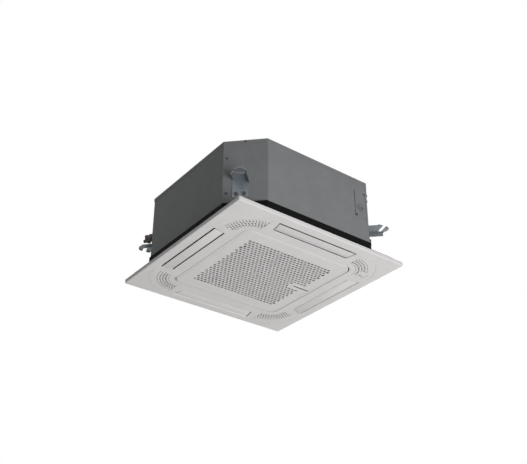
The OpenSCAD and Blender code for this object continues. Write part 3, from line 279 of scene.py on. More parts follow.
def gridFaces(rows, cols):  # quads between neighbours of a grid, each row closed into a ring
    r, c = np.arange(rows - 1)[:, None], np.arange(cols)[None, :]
    after = (c + 1) % cols
    quads = np.stack([r * cols + c, r * cols + after, (r + 1) * cols + after, (r + 1) * cols + c], -1)
    return quads.reshape(-1, 4).tolist()


def cappedFaces(rows, cols):  # the same, with a face over the first ring and one over the last
    return gridFaces(rows, cols) + [list(range(cols))[::-1], list(range((rows - 1) * cols, rows * cols))]


def boxesFaces(count):  # the faces of that many boxes, eight points each
    return (np.arange(count)[:, None, None] * 8 + boxFaces).reshape(-1, 4).tolist()


def quarterTurn(turn):  # turns points by that many quarters about the middle, from the front wall on
    a = np.radians(90 * turn)
    return np.array([[np.cos(a), np.sin(a), 0], [-np.sin(a), np.cos(a), 0], [0, 0, 1]])


def roundedSquare(half, radius, steps):  # four quarter circles about the corner middles, and their normals
    turn = np.radians(np.arange(4)[:, None] * 90 + np.linspace(0, 90, steps + 1)).ravel()
    corner = np.repeat([[1, 1], [-1, 1], [-1, -1], [1, -1]], steps + 1, axis=0) * (half - radius)
    normal = np.stack([np.cos(turn), np.sin(turn)], 1)
    return corner + radius * normal, normal


def carried(path, normal, profile):  # each profile point (out, z) is moved out along the path's normals
    out = path[None] + profile[:, 0][:, None, None] * normal[None]
    z = np.broadcast_to(profile[:, 1][:, None, None], out.shape[:2] + (1,))
    return np.concatenate([out, z], 2)


def ringWalls(loops):  # a closed band: a stack of loops with equal counts
    return loops.reshape(-1, 3), gridFaces(len(loops), loops.shape[1])


def holedSheet(outline, holes, z):  # triangles between an outline and its holes, at one height
    points, edges, faces = [], [], []
    for loop in [outline, *holes]:
        first = len(points)
        points += [Vector(p) for p in np.asarray(loop)[:, :2].tolist()]
        faces.append(list(range(first, len(points))))
    made = delaunay_2d_cdt(points, edges, faces, 2, 1e-6)
    flat = np.array([tuple(p) for p in made[0]])
    return np.column_stack([flat, np.full(len(flat), z)]), [list(f) for f in made[2]]


def makePiece(name, parts, finish, body, replaces, smooth, merge=0.001):
    # parts are (points in mm, faces[, finish index]); points nearer than merge mm become one, faces are
    # turned outwards, and edges blunter than smooth degrees are shaded round
    points, faces, paint, first = [], [], [], 0
    for part in parts:
        v, f = part[0], part[1]
        points.append(np.asarray(v, float))
        faces += [[i + first for i in face] for face in f]
        paint += [part[2] if len(part) > 2 else 0] * len(f)
        first += len(v)
    mesh = bpy.data.meshes.new(name)
    mesh.from_pydata((np.concatenate(points) * mm).tolist(), [], faces)
    mesh.polygons.foreach_set("material_index", np.array(paint, np.int32))
    work = bmesh.new()
    work.from_mesh(mesh)
    bmesh.ops.remove_doubles(work, verts=work.verts, dist=merge * mm)
    bmesh.ops.recalc_face_normals(work, faces=work.faces)
    work.to_mesh(mesh)
    work.free()
    return placePiece(name, mesh, finish, body, replaces, smooth)


def placePiece(name, mesh, finish, body, replaces, smooth):
    piece = bpy.data.objects.new(name, mesh)
    bpy.context.scene.collection.objects.link(piece)
    paint = np.zeros(len(mesh.polygons), np.int32)
    mesh.polygons.foreach_get("material_index", paint)
    mesh.materials.clear()
    for each in [finish] if isinstance(finish, str) else finish:
        mesh.materials.append(finishes[each])
    mesh.polygons.foreach_set("material_index", paint)
    mesh.shade_smooth()
    mesh.set_sharp_from_angle(angle=math.radians(smooth))
    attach(piece, body)
    for node in replaces:
        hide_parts(node)
    return piece


def cadMesh(node):  # a merged copy of a CAD node, with its flat faces joined
    mesh = frame["nodes"][node].data.copy()
    work = bmesh.new()
    work.from_mesh(mesh)
    bmesh.ops.remove_doubles(work, verts=work.verts, dist=5e-6)
    bmesh.ops.dissolve_limit(work, angle_limit=math.radians(0.4), verts=work.verts, edges=work.edges)
    work.to_mesh(mesh)
    work.free()
    for layer in [a.name for a in mesh.attributes if a.name == "custom_normal"]:
        mesh.attributes.remove(mesh.attributes[layer])
    return mesh


bodyOf = {n: b for b, members in frame["record"]["behaviour"]["bodies"].items() for n in members}


def softened(node, finish, edge, steps=2):  # the CAD node with its edges rounded as made
    piece = placePiece(node + ".looks", cadMesh(node), finish, bodyOf[node], [node], 35)
    if edge:
        bevel = piece.modifiers.new("edges", "BEVEL")
        bevel.width, bevel.segments = edge * mm, steps
        bevel.limit_method, bevel.angle_limit = "ANGLE", math.radians(28)
        bevel.use_clamp_overlap = True
        bevel.harden_normals = True


def looseSolids(node):  # the points of each separate solid of a CAD node, in mm, always in the same order
    work = bmesh.new()
    work.from_mesh(frame["nodes"][node].data)
    bmesh.ops.remove_doubles(work, verts=work.verts, dist=5e-6)
    left, solids = set(work.verts), []
    while left:
        seed = [left.pop()]
        solid = []
        while seed:
            v = seed.pop()
            solid.append(tuple(v.co))
            for e in v.link_edges:
                o = e.other_vert(v)
                if o in left:
                    left.remove(o)
                    seed.append(o)
        solids.append(sorted(solid))
    work.free()
    return [np.array(solid) / mm for solid in sorted(solids)]


# Casing, brackets and inner parts: CAD shapes with made edges, their rounds in mm

softened("top_plate", "darkZincSheet", 0.2)
for side in ("front", "right", "back", "left"):
    softened("wall_" + side, "darkZincSheet", 0.3)
softened("wiring_cover", "darkZincSheet", 0.3)
softened("pipe_plate", "darkZincSheet", 0.3)
for corner in ("right", "far", "left", "near"):
    softened("hanger_bracket_" + corner, "brightZincPressing", 0.5)
softened("bracket_bolts", "blackenedScrew", 0.4)
softened("foam_liner", "blackBeadFoam", 0.8)
softened("drain_pan", "blackBeadFoam", 1.0)
softened("panel_gasket", "sealFoam", 0.6)
softened("bell_mouth", "blackMoulding", 0.4)
softened("fan_wheel", "blackMoulding", 0.4)
softened("motor_shaft", "zincFastener", 0.4)
softened("fan_nut", "zincFastener", 0.4)
softened("fan_motor", "coatedMotorShell", 1.0)
softened("motor_studs", "zincFastener", 0.2)
softened("motor_grommets", "blackMoulding", 0.4)
softened("motor_nuts", "zincFastener", 0.3)
softened("tube_sheets", "brightZincPressing", 0.2)
softened("coil_bends", "drawnCopper", 0)
softened("gas_header", "drawnCopper", 0.3)
softened("liquid_header", "drawnCopper", 0.3)
softened("gas_pipe", "drawnCopper", 0.2)
softened("liquid_pipe", "drawnCopper", 0.2)
softened("drain_pump", "blackMoulding", 0.5)
softened("pump_impeller", "whiteNylon", 0.2)
softened("float_guide", "whiteNylon", 0.3)
softened("pump_float", "blackMoulding", 0.5)
softened("drain_socket", "whiteNylon", 0.4)
softened("control_box", "brightZincPressing", 0.4)
softened("control_cover", "brightZincPressing", 0.3)
softened("circuit_board", "solderMask", 0.1)
softened("terminal_block", "whiteNylon", 0.3)
softened("air_sensor", "blackMoulding", 0.3)
softened("panel_frame", "mouldedPanel", 0.5, 3)
softened("panel_screws", "zincFastener", 0.3)
softened("louver_motors", "blackMoulding", 0.4)
softened("grille_latch", "blackMoulding", 0.3)
softened("filter_frame", "blackMoulding", 0.4)
print("CAD shapes finished")


# Suction grille: a plate with staggered round holes, a border line and the latch's slot
grilleLook = {
    "rows": 27,
    "rowPitch": 11.25,     # mm along Y
    "columnPitch": 13.1,   # mm along X
    "columns": 24,         # holes in a row; every second row lies half a column to the left
    "shift": (5.0, 0.5),   # from the grille's middle
    "hole": 10.2,
    "holeLip": 0.3,        # small round at each hole's mouth
    "lipBend": (0.7, 0.35),  # its middle: share of the way in, share of the depth
    "cornerRadius": 31.0,
    "back": -12.5,         # height of the plate's back
    "backEase": 0.2,
    "sideRound": 2.0,      # from the face to the side
    "flange": 3.5,         # strip of the back in the border's profile
    "border": 12.0,        # plate edge worked as one profile
    "grooveAt": 8.6,       # middle of the border line, in from the edge
    "grooveWidth": 1.2,
    "grooveFloor": 0.8,    # share of the width that is flat
    "grooveDepth": 0.6,
    "padStart": 114.0,     # blank patch round the latch slot
    "padHalf": 17.0,
    "slot": (157.0, 0.0, 64.0, 6.0),  # latch slot: middle, length and width
    "pocket": (-193.0, 130.0, 2.8, 2.4, -13.8),  # room for the hinge ears: middle, half sizes, bottom
    "smooth": 26.2,        # degrees, just over the 25.7 between the sides of a hole
}


def roundEnded(x, y, length, width, steps=7):  # slot outline: two half circles joined by straight sides
    a = np.radians(np.concatenate([np.linspace(-90, 90, steps), np.linspace(90, 270, steps)]))
    shift = np.repeat([1, -1], steps) * (length - width) / 2
    return np.stack([x + shift + np.cos(a) * width / 2, y + np.sin(a) * width / 2], 1)


def circleLoop(x, y, radius, steps=14):
    a = np.arange(steps) * 2 * np.pi / steps
    return np.stack([x + radius * np.cos(a), y + radius * np.sin(a)], 1)


def stacked(loopsAndHeights):  # a stack of flat loops, each at its own height
    return ringWalls(np.stack([np.column_stack([p, np.full(len(p), z)]) for p, z in loopsAndHeights]))


def holePlaces(look):  # rows on a steady pitch, every second one shifted by half a column
    row, col = np.meshgrid(np.arange(look["rows"]), np.arange(look["columns"]), indexing="ij")
    col = col - (look["columns"] - 1) / 2 - np.where(row % 2 == 1, 0, 0.5)
    x = col * look["columnPitch"] + look["shift"][0]
    y = (row - (look["rows"] - 1) / 2) * look["rowPitch"] + look["shift"][1]
    kept = ~((x > look["padStart"]) & (np.abs(y) < look["padHalf"]))
    return x[kept], y[kept]


def buildGrille(look):
    # the border is a profile, groove and quarter round, carried round a rounded square; face and back are
    # flat sheets with holes, and a stack of three rings makes the lipped wall of each hole
    low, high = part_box("suction_grille")
    half, face, back, ease = high.x / mm, low.z / mm, look["back"], look["backEase"]
    g, w, d = look["grooveAt"], look["grooveWidth"] / 2, look["grooveDepth"]
    bend, q, f = np.radians(np.linspace(0, 90, 6)), look["sideRound"], w * look["grooveFloor"]
    side = np.stack([-q + q * np.sin(bend), face + q - q * np.cos(bend)], 1)
    profile = np.concatenate([
        [[-look["border"], face], [-g - w, face], [-g - f, face + d], [-g + f, face + d], [-g + w, face]],
        side, [[0, back - ease], [-ease, back], [-look["flange"], back]]])
    rim = carried(*roundedSquare(half, look["cornerRadius"], 12), profile)
    lip, r, (inward, deep) = look["holeLip"], look["hole"] / 2, look["lipBend"]
    x, y, length, width = look["slot"]
    wide = [circleLoop(px, py, r + lip) for px, py in zip(*holePlaces(look))]
    tight = [circleLoop(px, py, r) for px, py in zip(*holePlaces(look))]
    wide.append(roundEnded(x, y, length + 2 * lip, width + 2 * lip))
    tight.append(roundEnded(x, y, length, width))
    px, py, pw, ph, bottom = look["pocket"]
    corners = np.array([[-pw, -ph], [pw, -ph], [pw, ph], [-pw, ph]])
    pockets = [corners + [px, s * py] for s in (-1, 1)]
    parts = [ringWalls(rim), holedSheet(rim[0], wide, face), holedSheet(rim[-1], tight + pockets, back)]
    for a, c in zip(wide, tight):
        between = a * (1 - inward) + c * inward
        parts.append(stacked([(a, face), (between, face + lip * deep), (c, face + lip), (c, back)]))
    for loop in pockets:
        v, f = stacked([(loop, back), (loop, bottom)])
        parts.append((v, f + [[4, 5, 6, 7]]))
    parts += cadPart("suction_grille", lambda z: z > back + 0.001)
    makePiece("suctionGrille", parts, "mouldedPanel", "grille", ["suction_grille"],
              smooth=look["smooth"], merge=0.01)


def cadPart(node, keep):  # faces of a CAD node that reach past a height, such as lugs and rails on a plate
    mesh = cadMesh(node)
    points = np.array([tuple(v.co) for v in mesh.vertices]) / mm
    return [(points, [list(p.vertices) for p in mesh.polygons if keep(points[list(p.vertices), 2].max())])]


buildGrille(grilleLook)
print("grille made")


# Catches of the filter frame: black studs that fill a few of the outermost holes
catchLook = {
    "right": (1, 3, 5, 23, 25),  # rows that have one at the right end
    "left": (3, 4),
    "front": -14.5,        # just inside the grille's face
    "back": -11.5,
    "gap": 0.25,           # to the hole
    "edge": 0.4,           # chamfer of the front
    "core": 0.3,           # share of the radius where a flat end closes
    "sides": 20,
}


def buildCatches(look, grille):
    # a stud is five rings, from the middle of its front round its side to the middle of its back
    middle, half = (grille["rows"] - 1) / 2, (grille["columns"] - 1) / 2
    ends = [(half, k) for k in look["right"]] + [(-half - (k + 1) % 2 / 2, k) for k in look["left"]]
    r, front, back = grille["hole"] / 2 - look["gap"], look["front"], look["back"]
    core, edge = r * look["core"], look["edge"]
    parts = []
    for column, row in ends:
        x = column * grille["columnPitch"] + grille["shift"][0]
        y = (row - middle) * grille["rowPitch"] + grille["shift"][1]
        loops = [circleLoop(x, y, q, look["sides"]) for q in (core, r - edge, r, r, core)]
        v, f = stacked(list(zip(loops, (front, front, front + edge, back, back))))
        parts.append((v, cappedFaces(len(loops), look["sides"])))
    makePiece("filterCatches", parts, "blackMoulding", "grille", [], smooth=35)


buildCatches(catchLook, grilleLook)
print("catches made")


# Filter net: two layers of threads, drawn coarser than the real 1 mm net so that they show
netLook = {"pitch": 2.0, "thread": 1.1, "low": -7.3, "high": -6.5, "cornerRadius": 23.0}


def buildNet(look):
    # a thread is a flat bar; it ends on the net's rounded corner, where its reach is
    # half - radius + the root of radius squared less inset squared
    half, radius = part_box("filter_mesh")[1].x / mm, look["cornerRadius"]
    line = np.arange(-half + look["pitch"] / 2, half, look["pitch"])
    inset = np.clip(np.abs(line) - (half - radius), 0, None)
    reach = half - radius + np.sqrt(np.clip(radius ** 2 - inset ** 2, 0, None))
    w, middle = look["thread"] / 2, (look["low"] + look["high"]) / 2
    parts = []
    for across, z0, z1 in ((False, look["low"], middle), (True, middle, look["high"])):
        u = np.stack([-reach, reach, reach, -reach, -reach, reach, reach, -reach], 1)
        v = np.stack([line - w, line - w, line + w, line + w] * 2, 1)
        z = np.broadcast_to([z0] * 4 + [z1] * 4, u.shape)
        threads = np.stack([v, u, z] if across else [u, v, z], -1).reshape(-1, 3)
        parts.append((threads, boxesFaces(len(line))))
    makePiece("filterNet", parts, "netThread", "grille", ["filter_mesh"], smooth=30, merge=0.0001)


buildNet(netLook)
print("filter net made")


# Corner covers: quarter rings with rows of dimples that swell and fade outwards
coverLook = {
    "middle": 169.0,       # centre of the rings, along X and along Y
    "inner": 38.0,
    "outer": 116.0,
    "thick": 2.0,
    "softEdge": 0.4,
    "firstRow": 46.0,      # radius of the first row
    "pitch": 9.0,          # between rows, and along them
    "dots": [2.4, 3.6, 5.8, 5.4, 5.0, 3.8, 2.8],  # diameters, from the inner row outwards
    "stagger": 0.22,       # dimples of a row move by this share of the pitch, to and fro from row to row
    "paintedShadeFrom": 3.0,       # dimples wider than this get painted shade inside
    "depth": 1.5,
    "bowl": (1.0, 0.9, 0.6),  # shares of the radius where a bowl's rings lie
    "sides": 12,
    "face": -15.0,
    "windowMargin": 4.0,   # no dimples this near the window
}


def buildCover(look, name, turn, window):
    # a flat quarter ring between two arcs, made in the quarter where x and y are positive, then turned;
    # a bowl's radius falls as its depth grows along a quarter ellipse
    face, back, soft = look["face"], look["face"] + look["thick"], look["softEdge"]
    a = np.radians(np.linspace(0, 90, 31))
    unit = np.stack([np.cos(a), np.sin(a)], 1)
    outline = np.concatenate([unit * look["outer"], (unit * look["inner"])[::-1]])
    shrink = np.concatenate([unit * (look["outer"] - soft), (unit * (look["inner"] + soft))[::-1]])
    shrink = np.maximum(shrink, soft)
    dots = []
    for k, d in enumerate(look["dots"]):
        r = look["firstRow"] + look["pitch"] * k
        n = int(r * np.pi / 2 / look["pitch"])
        t = np.radians(90 * (np.arange(n) + 0.5 + look["stagger"] * (1 if k % 2 else -1)) / n)
        dots += [(r * np.cos(q), r * np.sin(q), d / 2) for q in t]
    holes = []
    if window is not None:
        u0, v0, u1, v1 = window
        m = look["windowMargin"]
        dots = [q for q in dots if not (u0 - m < q[0] < u1 + m and v0 - m < q[1] < v1 + m)]
        holes = [np.array([[u0, v0], [u1, v0], [u1, v1], [u0, v1]])]
    n, share = look["sides"], np.array(look["bowl"])
    mouths = [circleLoop(x, y, r, n) for x, y, r in dots]
    eased = shrink * 0.5 + outline * 0.5
    parts = [holedSheet(shrink, mouths + holes, face), holedSheet(outline, holes, back),
             stacked([(shrink, face), (eased, face + soft * 0.25), (outline, face + soft), (outline, back)])]
    parts += [stacked([(hole, face), (hole, back)]) for hole in holes]
    for x, y, r in dots:  # the small ones are shallower
        z = face + look["depth"] * min(1, r / 2) * np.sqrt(1 - share ** 2)
        v, f = stacked([(circleLoop(x, y, r * s, n), h) for s, h in zip(share, z)])
        # a wide bowl takes the second finish, dimpleShade: painted shade in the dimple
        parts.append((v, f + [list(range(2 * n, 3 * n))], 1 if 2 * r > look["paintedShadeFrom"] else 0))
    middle, spin, node = [look["middle"], look["middle"], 0], quarterTurn(turn), "corner_cover_" + name
    placed = [((np.asarray(p[0], float) + middle) @ spin, *p[1:]) for p in parts]
    makePiece("cornerCover." + name, placed, ["mouldedPanel", "dimpleShade"], bodyOf[node], [node],
              smooth=26, merge=0.01)


# Receiver window: a chamfered plate in its corner cover, with a dark line round it and a smoked strip
windowLook = {
    "gap": 0.9,            # to the corner cover
    "chamfer": 1.1,
    "drop": 1.4,           # height of the chamfer
    "radius": 2.0,
    "faceRadius": 1.6,
    "strip": (14.0, 3.4),  # length and width
    "stripAt": (-1.0, 4.0),  # from the plate's middle
    "lensPlay": 0.05,      # round the strip's lens
    "lensSunk": 0.4,       # below the face
    "lensBack": 0.2,       # above the plate's back
}


def buildWindow(look):
    # the plate is a stack of three rounded rectangles, the lens one of two slots
    low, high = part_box("receiver_window")
    (x0, y0, face), (x1, y1, back) = np.array(low) / mm, np.array(high) / mm
    cx, cy, hx, hy = (x0 + x1) / 2, (y0 + y1) / 2, (x1 - x0) / 2, (y1 - y0) / 2
    corner = np.radians(np.arange(4)[:, None] * 90 + np.linspace(0, 90, 5)).ravel()
    sign = np.repeat([[1, 1], [-1, 1], [-1, -1], [1, -1]], 5, axis=0)

    def loop(inset, radius):
        middle = [cx, cy] + sign * [hx - inset - radius, hy - inset - radius]
        return middle + radius * np.stack([np.cos(corner), np.sin(corner)], 1)

    body, (length, width), play = bodyOf["receiver_window"], look["strip"], 2 * look["lensPlay"]
    sx, sy = cx + look["stripAt"][0], cy + look["stripAt"][1]
    inner, outer = loop(look["chamfer"], look["faceRadius"]), loop(0, look["radius"])
    slit = roundEnded(sx, sy, length, width)
    parts = [
        stacked([(inner, face), (outer, face + look["drop"]), (outer, back)]),
        holedSheet(inner, [slit], face), holedSheet(outer, [slit], back),
        stacked([(slit, face), (slit, back)])]
    makePiece("receiverPlate", parts, "mouldedPanel", body, ["receiver_window"],
              smooth=30, merge=0.01)
    tight = roundEnded(sx, sy, length - play, width - play)
    front, rear = face + look["lensSunk"], back - look["lensBack"]
    parts = [stacked([(tight, front), (tight, rear)]),
             holedSheet(tight, [], front), holedSheet(tight, [], rear)]
    makePiece("receiverLens", parts, "smokedAcrylic", body, [], smooth=30, merge=0.01)
    g, m = look["gap"], coverLook["middle"]  # the hole for it, in its corner's own quarter
    return (-y1 - m - g, x0 - m - g, -y0 - m + g, x1 - m + g)


windowHole = buildWindow(windowLook)
print("receiver window made")
for i, corner in enumerate(("right", "far", "left", "near")):
    buildCover(coverLook, corner, i - 1, windowHole if i == 0 else None)
print("corner covers made")


# Louvers: bowed blades, thin at their long edges, with the CAD arms and pins
louverLook = {
    "openingLength": 294.0,
    "openingSides": (236.5, 279.5),  # from the centre
    "slant": 8.5,          # an end is this much nearer the middle at the inner side
    "endGap": 3.2,
    "crown": 0.3,
    "rise": 1.5,           # the inner edge bends up into the opening by this much
    "bend": 15.0,          # over this width
    "thick": 2.4,
    "edge": 0.6,           # thickness at the long edges
    "short": 1.5,          # the outer edge stops short of the CAD blade's, for a wider black gap
    "taper": 5.5,          # width of the thinned strip
    "endRound": [(0, 0.5), (0.25, 0.85), (0.8, 1)],  # in from an end: share of the thickness
    "armsFrom": -11.55,    # the CAD node's faces above this are its arms and pins
}


def buildLouver(look, side, turn):
    # underside: a flat parabola across the blade, plus a second one that lifts the inner edge;
    # top: the thickness falls along a quarter ellipse near each long edge
    low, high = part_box("louver_front")
    inner, outer, face = -high.y / mm, -low.y / mm - look["short"], low.z / mm
    half, middle = (outer - inner) / 2, (outer + inner) / 2
    across = np.sin(np.linspace(-0.5, 0.5, 21) * np.pi) * half
    lift = np.clip((look["bend"] - across - half) / look["bend"], 0, 1)
    under = face + look["crown"] * (across / half) ** 2 + look["rise"] * lift ** 2
    fade = np.clip((np.abs(across) - half + look["taper"]) / look["taper"], 0, 1)
    top = under + look["edge"] + (look["thick"] - look["edge"]) * np.sqrt(1 - fade ** 2)
    out = np.concatenate([across, across[::-1]]) + middle
    z = np.concatenate([under, top[::-1]])
    mid = np.concatenate([(under + top) / 2, ((under + top) / 2)[::-1]])
    near, far = look["openingSides"]
    reach = look["openingLength"] / 2 - look["slant"] * (far - out) / (far - near) - look["endGap"]
    ease = look["endRound"]
    rows = [(d - reach, s) for d, s in ease] + [(reach - d, s) for d, s in ease[::-1]]
    grid = np.stack([np.stack([x, -out, mid + (z - mid) * s], 1) for x, s in rows])
    node = "louver_" + side
    parts = [(grid.reshape(-1, 3) @ quarterTurn(turn), cappedFaces(len(rows), len(out)))]
    parts += cadPart(node, lambda z: z > look["armsFrom"])
    makePiece("louver." + side, parts, "mouldedPanel", bodyOf[node], [node],
              smooth=32, merge=0.005)


for i, side in enumerate(("front", "right", "back", "left")):
    buildLouver(louverLook, side, i)
print("louvers made")


# Screws of the casing: pan heads with a cross recess, on grooved shanks
screwLook = {
    "domeHeight": 2.0,
    "flatness": 0.93,      # the nearer to 1, the lower the head's rim
    "rim": (0.88, 0.95, 1, 1),  # shares of the head's radius where its outer rings lie
    "crossWidth": 1.1,
    "crossReach": 2.2,
    "crossDepth": 1.2,
    "headFrom": 3.0,       # radius past which a CAD point belongs to the head
    "threadDepth": 0.35,
    "threadRings": 13,
    "sides": 32,
}


def buildScrews(look):
    # a CAD screw's axis is the long direction of its points; the head is a disc whose height is the root of
    # one less the fourth power of the radius, less the cross; the shank is a tube of two radii in turn
    n, rings = look["sides"], look["threadRings"]
    t = np.radians(np.arange(n) * 360 / n)
    cos, sin = np.cos(t), np.sin(t)
    parts = []
    for solid in looseSolids("body_screws"):
        middle = solid.mean(0)
        axis = np.linalg.svd(solid - middle)[2][0]
        along = (solid - middle) @ axis
        across = np.linalg.norm(solid - middle - along[:, None] * axis, axis=1)
        wide = across > look["headFrom"]
        if along[wide].mean() < along.mean():
            axis, along = -axis, -along
        seat = middle + axis * along[wide].min()
        up = np.array([0, 0, 1.0])
        side = np.cross(up, axis)
        headR, shankR, shank = across.max(), across[~wide].max(), along[wide].min() - along.min()
        r = np.concatenate([np.linspace(0.05, 0.8, 8), look["rim"]])[:, None] * headR
        high = np.repeat(look["domeHeight"] * np.sqrt(1 - (r / headR * look["flatness"]) ** 4), n, axis=1)
        high[-1] = 0
        u, v = r * cos, r * sin
        arm = np.minimum(np.abs(u), np.abs(v)) < look["crossWidth"] / 2
        inside = np.maximum(np.abs(u), np.abs(v)) < look["crossReach"]
        high = high - look["crossDepth"] * (arm & inside)
        head = seat + u[..., None] * side + v[..., None] * up + high[..., None] * axis
        parts.append((head.reshape(-1, 3), cappedFaces(len(r), n)))
        z = np.linspace(0, shank, rings)
        thread = shankR - look["threadDepth"] * (np.arange(rings) % 2)
        ring = cos[::2, None] * side + sin[::2, None] * up
        body = seat + thread[:, None, None] * ring - z[:, None, None] * axis
        parts.append((body.reshape(-1, 3), cappedFaces(rings, n // 2)))
    makePiece("casingScrews", parts, "blackenedScrew", "cabinet", ["body_screws"],
              smooth=35, merge=0.0001)


buildScrews(screwLook)
print("screws made")


# Coil: folded foils round the tubes
finLook = {
    "pitch": 2.0,
    "foil": 0.35,          # drawn thicker than the real 0.1 mm, so that it shows
    "inner": 192.0,        # from the middle to the coil's inner side
    "depth": 26.0,
    "cornerRadius": 30.0,
    "end": 100.0,          # no foils past this in the corner of the headers
}


def buildFins(look):
    # foils stand at even steps along a rounded square, each across the path
    low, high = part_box("coil_fins")
    half = look["depth"] / 2
    path, normal = roundedSquare(look["inner"] + half, look["cornerRadius"] + half, 24)
    closed = np.vstack([path, path[:1]])
    run = np.concatenate([[0], np.cumsum(np.linalg.norm(np.diff(closed, axis=0), axis=1))])
    s = np.arange(0, run[-1], look["pitch"])
    turn = np.unwrap(np.arctan2(*np.vstack([normal, normal[:1]]).T[::-1]))
    x, y, a = (np.interp(s, run, q) for q in (closed[:, 0], closed[:, 1], turn))
    kept = ~((x < -look["end"]) & (y > look["end"]))
    x, y, a = x[kept], y[kept], a[kept]
    out = np.stack([np.cos(a), np.sin(a)], 1) * half
    along = np.stack([-np.sin(a), np.cos(a)], 1) * look["foil"] / 2
    middle = np.stack([x, y], 1)
    corner = np.stack([middle + i * out + j * along for i, j in ((-1, -1), (1, -1), (1, 1), (-1, 1))], 1)
    ends = [np.concatenate([corner, np.full(corner.shape[:2] + (1,), z / mm)], 2) for z in (low.z, high.z)]
    points = np.concatenate(ends, 1).reshape(-1, 3)
    makePiece("coilFins", [(points, boxesFaces(len(x)))], "finFoil", "cabinet", ["coil_fins"],
              smooth=30, merge=0.0001)


buildFins(finLook)
print("coil made")


# Cable entry: a moulded bush with a thin wall across it, to be cut for the cable
bushLook = {
    "node": "wiring_cover",
    "height": 150.5,       # of the hole above the ceiling plane
    "profile": [           # radius, and how far out of the cover: thin wall, ring on it, flange, neck
        (0.3, -0.5), (2.2, -0.5), (2.6, -0.1), (3.2, -0.1), (3.6, -0.5), (7.6, -0.5), (8.6, 0.1), (9.6, 1.3),
        (10.4, 1.6), (11.9, 1.5), (12.6, 1.1), (12.8, 0.5), (12.8, 0), (9.8, 0), (9.8, -1.6), (0.3, -1.6)],
    "sides": 40,
}


def buildBush(look):
    # a profile of radius and distance out of the cover, turned about the hole's axis
    low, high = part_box(look["node"])
    reach, out = np.array(look["profile"]).T[:, :, None]
    a = np.arange(look["sides"]) * 2 * np.pi / look["sides"]
    x, y, z = (low.x + high.x) / 2 / mm, low.y / mm, look["height"]
    grid = np.stack(np.broadcast_arrays(x + reach * np.cos(a), y - out, z + reach * np.sin(a)), 2)
    makePiece("cableBush", [(grid.reshape(-1, 3), cappedFaces(*grid.shape[:2]))], "greyRubber",
              bodyOf[look["node"]], [], smooth=35)


buildBush(bushLook)
print("cable bush made")


# Shutter of the latch: a black strip that fills the slot round the knob and slides with it
shutterLook = {
    "travel": 7.0,         # room in the slot for the latch's slide
    "side": 0.35,          # gap to the slot
    "recess": 0.3,         # below the grille's face
    "chamfer": 0.3,
    "back": -12.6,
}


def buildShutter(look, slot):
    # a stack of three slot outlines between two flat ends
    x, y, length, width = slot
    long, wide, c = length - look["travel"] - 2 * look["side"], width - 2 * look["side"], look["chamfer"]
    x, face = x + look["travel"] / 2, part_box("suction_grille")[0].z / mm + look["recess"]
    outline, inner = roundEnded(x, y, long, wide), roundEnded(x, y, long - 2 * c, wide - 2 * c)
    parts = [stacked([(inner, face), (outline, face + c), (outline, look["back"])]),
             holedSheet(inner, [], face), holedSheet(outline, [], look["back"])]
    makePiece("latchShutter", parts, "blackMoulding", bodyOf["grille_latch"], [], smooth=30)


buildShutter(shutterLook, grilleLook["slot"])
print("latch shutter made")


# Inside the outlets: a lip along each outer wall, to lead the air down, and a grey lining on each inner one
outletLook = {  # an outline's points: from the panel's centre, height
    "lips": {"finish": "mouldedPanel", "slot": "white_plastic", "length": 292.0,
             "outline": [(279.5, -14.95), (275.9, -11.4), (275.9, -11.0), (279.5, -11.0)]},
    "linings": {"finish": "greyRubber", "slot": "black_foam", "length": 276.0,
                "outline": [(236.3, -14.1), (236.3, -6.0), (236.8, -6.0), (236.8, -14.1)]},
}


def buildOutlets(name, look):
    # a flat outline carried along one wall, then turned to each of the four
    outline = np.array(look["outline"])
    ends = np.array([[-1], [1]]) * look["length"] / 2
    bar = np.stack(np.broadcast_arrays(ends, -outline[:, 0], outline[:, 1]), 2).reshape(-1, 3)
    parts = [(bar @ quarterTurn(turn), cappedFaces(2, len(outline))) for turn in range(4)]
    makePiece("outlet." + name, parts, look["finish"], bodyOf["panel_frame"], [], smooth=30)


for name, look in outletLook.items():
    buildOutlets(name, look)
print("outlets made")


# Foam strips under the wiring cover's two long edges
stripLook = {
    "node": "wiring_cover",
    "shows": 0.9,          # width beside the cover
    "under": 3.0,          # width under it
    "thick": 0.9,
}


def buildStrips(look):
    # two upright bars on the wall, as high as the cover
    (left, _, foot), (right, _, top) = (np.array(corner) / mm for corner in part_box(look["node"]))
    wall, shows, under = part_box("wall_front")[0].y / mm, look["shows"], look["under"]
    parts = []
    for x0, x1 in ((left - shows, left + under), (right - under, right + shows)):
        near = np.stack([[x0, x1, x1, x0], [wall - look["thick"]] * 2 + [wall] * 2, [foot] * 4], 1)
        parts.append((np.vstack([near, near + [0, 0, top - foot]]), cappedFaces(2, 4)))
    makePiece("coverStrips", parts, "sealFoam", bodyOf[look["node"]], [], smooth=30)


buildStrips(stripLook)
print("cover strips made")


# Pipe unions and drain hose: CAD shapes with made edges too

softened("flare_unions", "dullPlating", 0.4)
softened("drain_hose", "blackMoulding", 0.2)
print("unions and hose finished")


# Stage, lamps and camera
studio = {
    "floorDepth": 3.0,       # m below the ceiling plane, a room's height
    "floorHalf": 7.0,
    "floorGlow": 0.6,        # keeps the floor pale to the camera
    "ambient": 0.19,         # strength of the white room as light
    "aim": (0.0, 0.0, 0.1),  # where the lamps point
    "front": (0.0, -3.0, -1.68, 2.0, 92),   # x, y, z, size in m, watts
    "back": (1.8, 1.6, 2.1, 1.8, 70),
    "left": (-2.0, 2.2, 1.6, 1.5, 2),
    "right": (1.9, 0.3, -1.7, 1.4, 12.5),
}


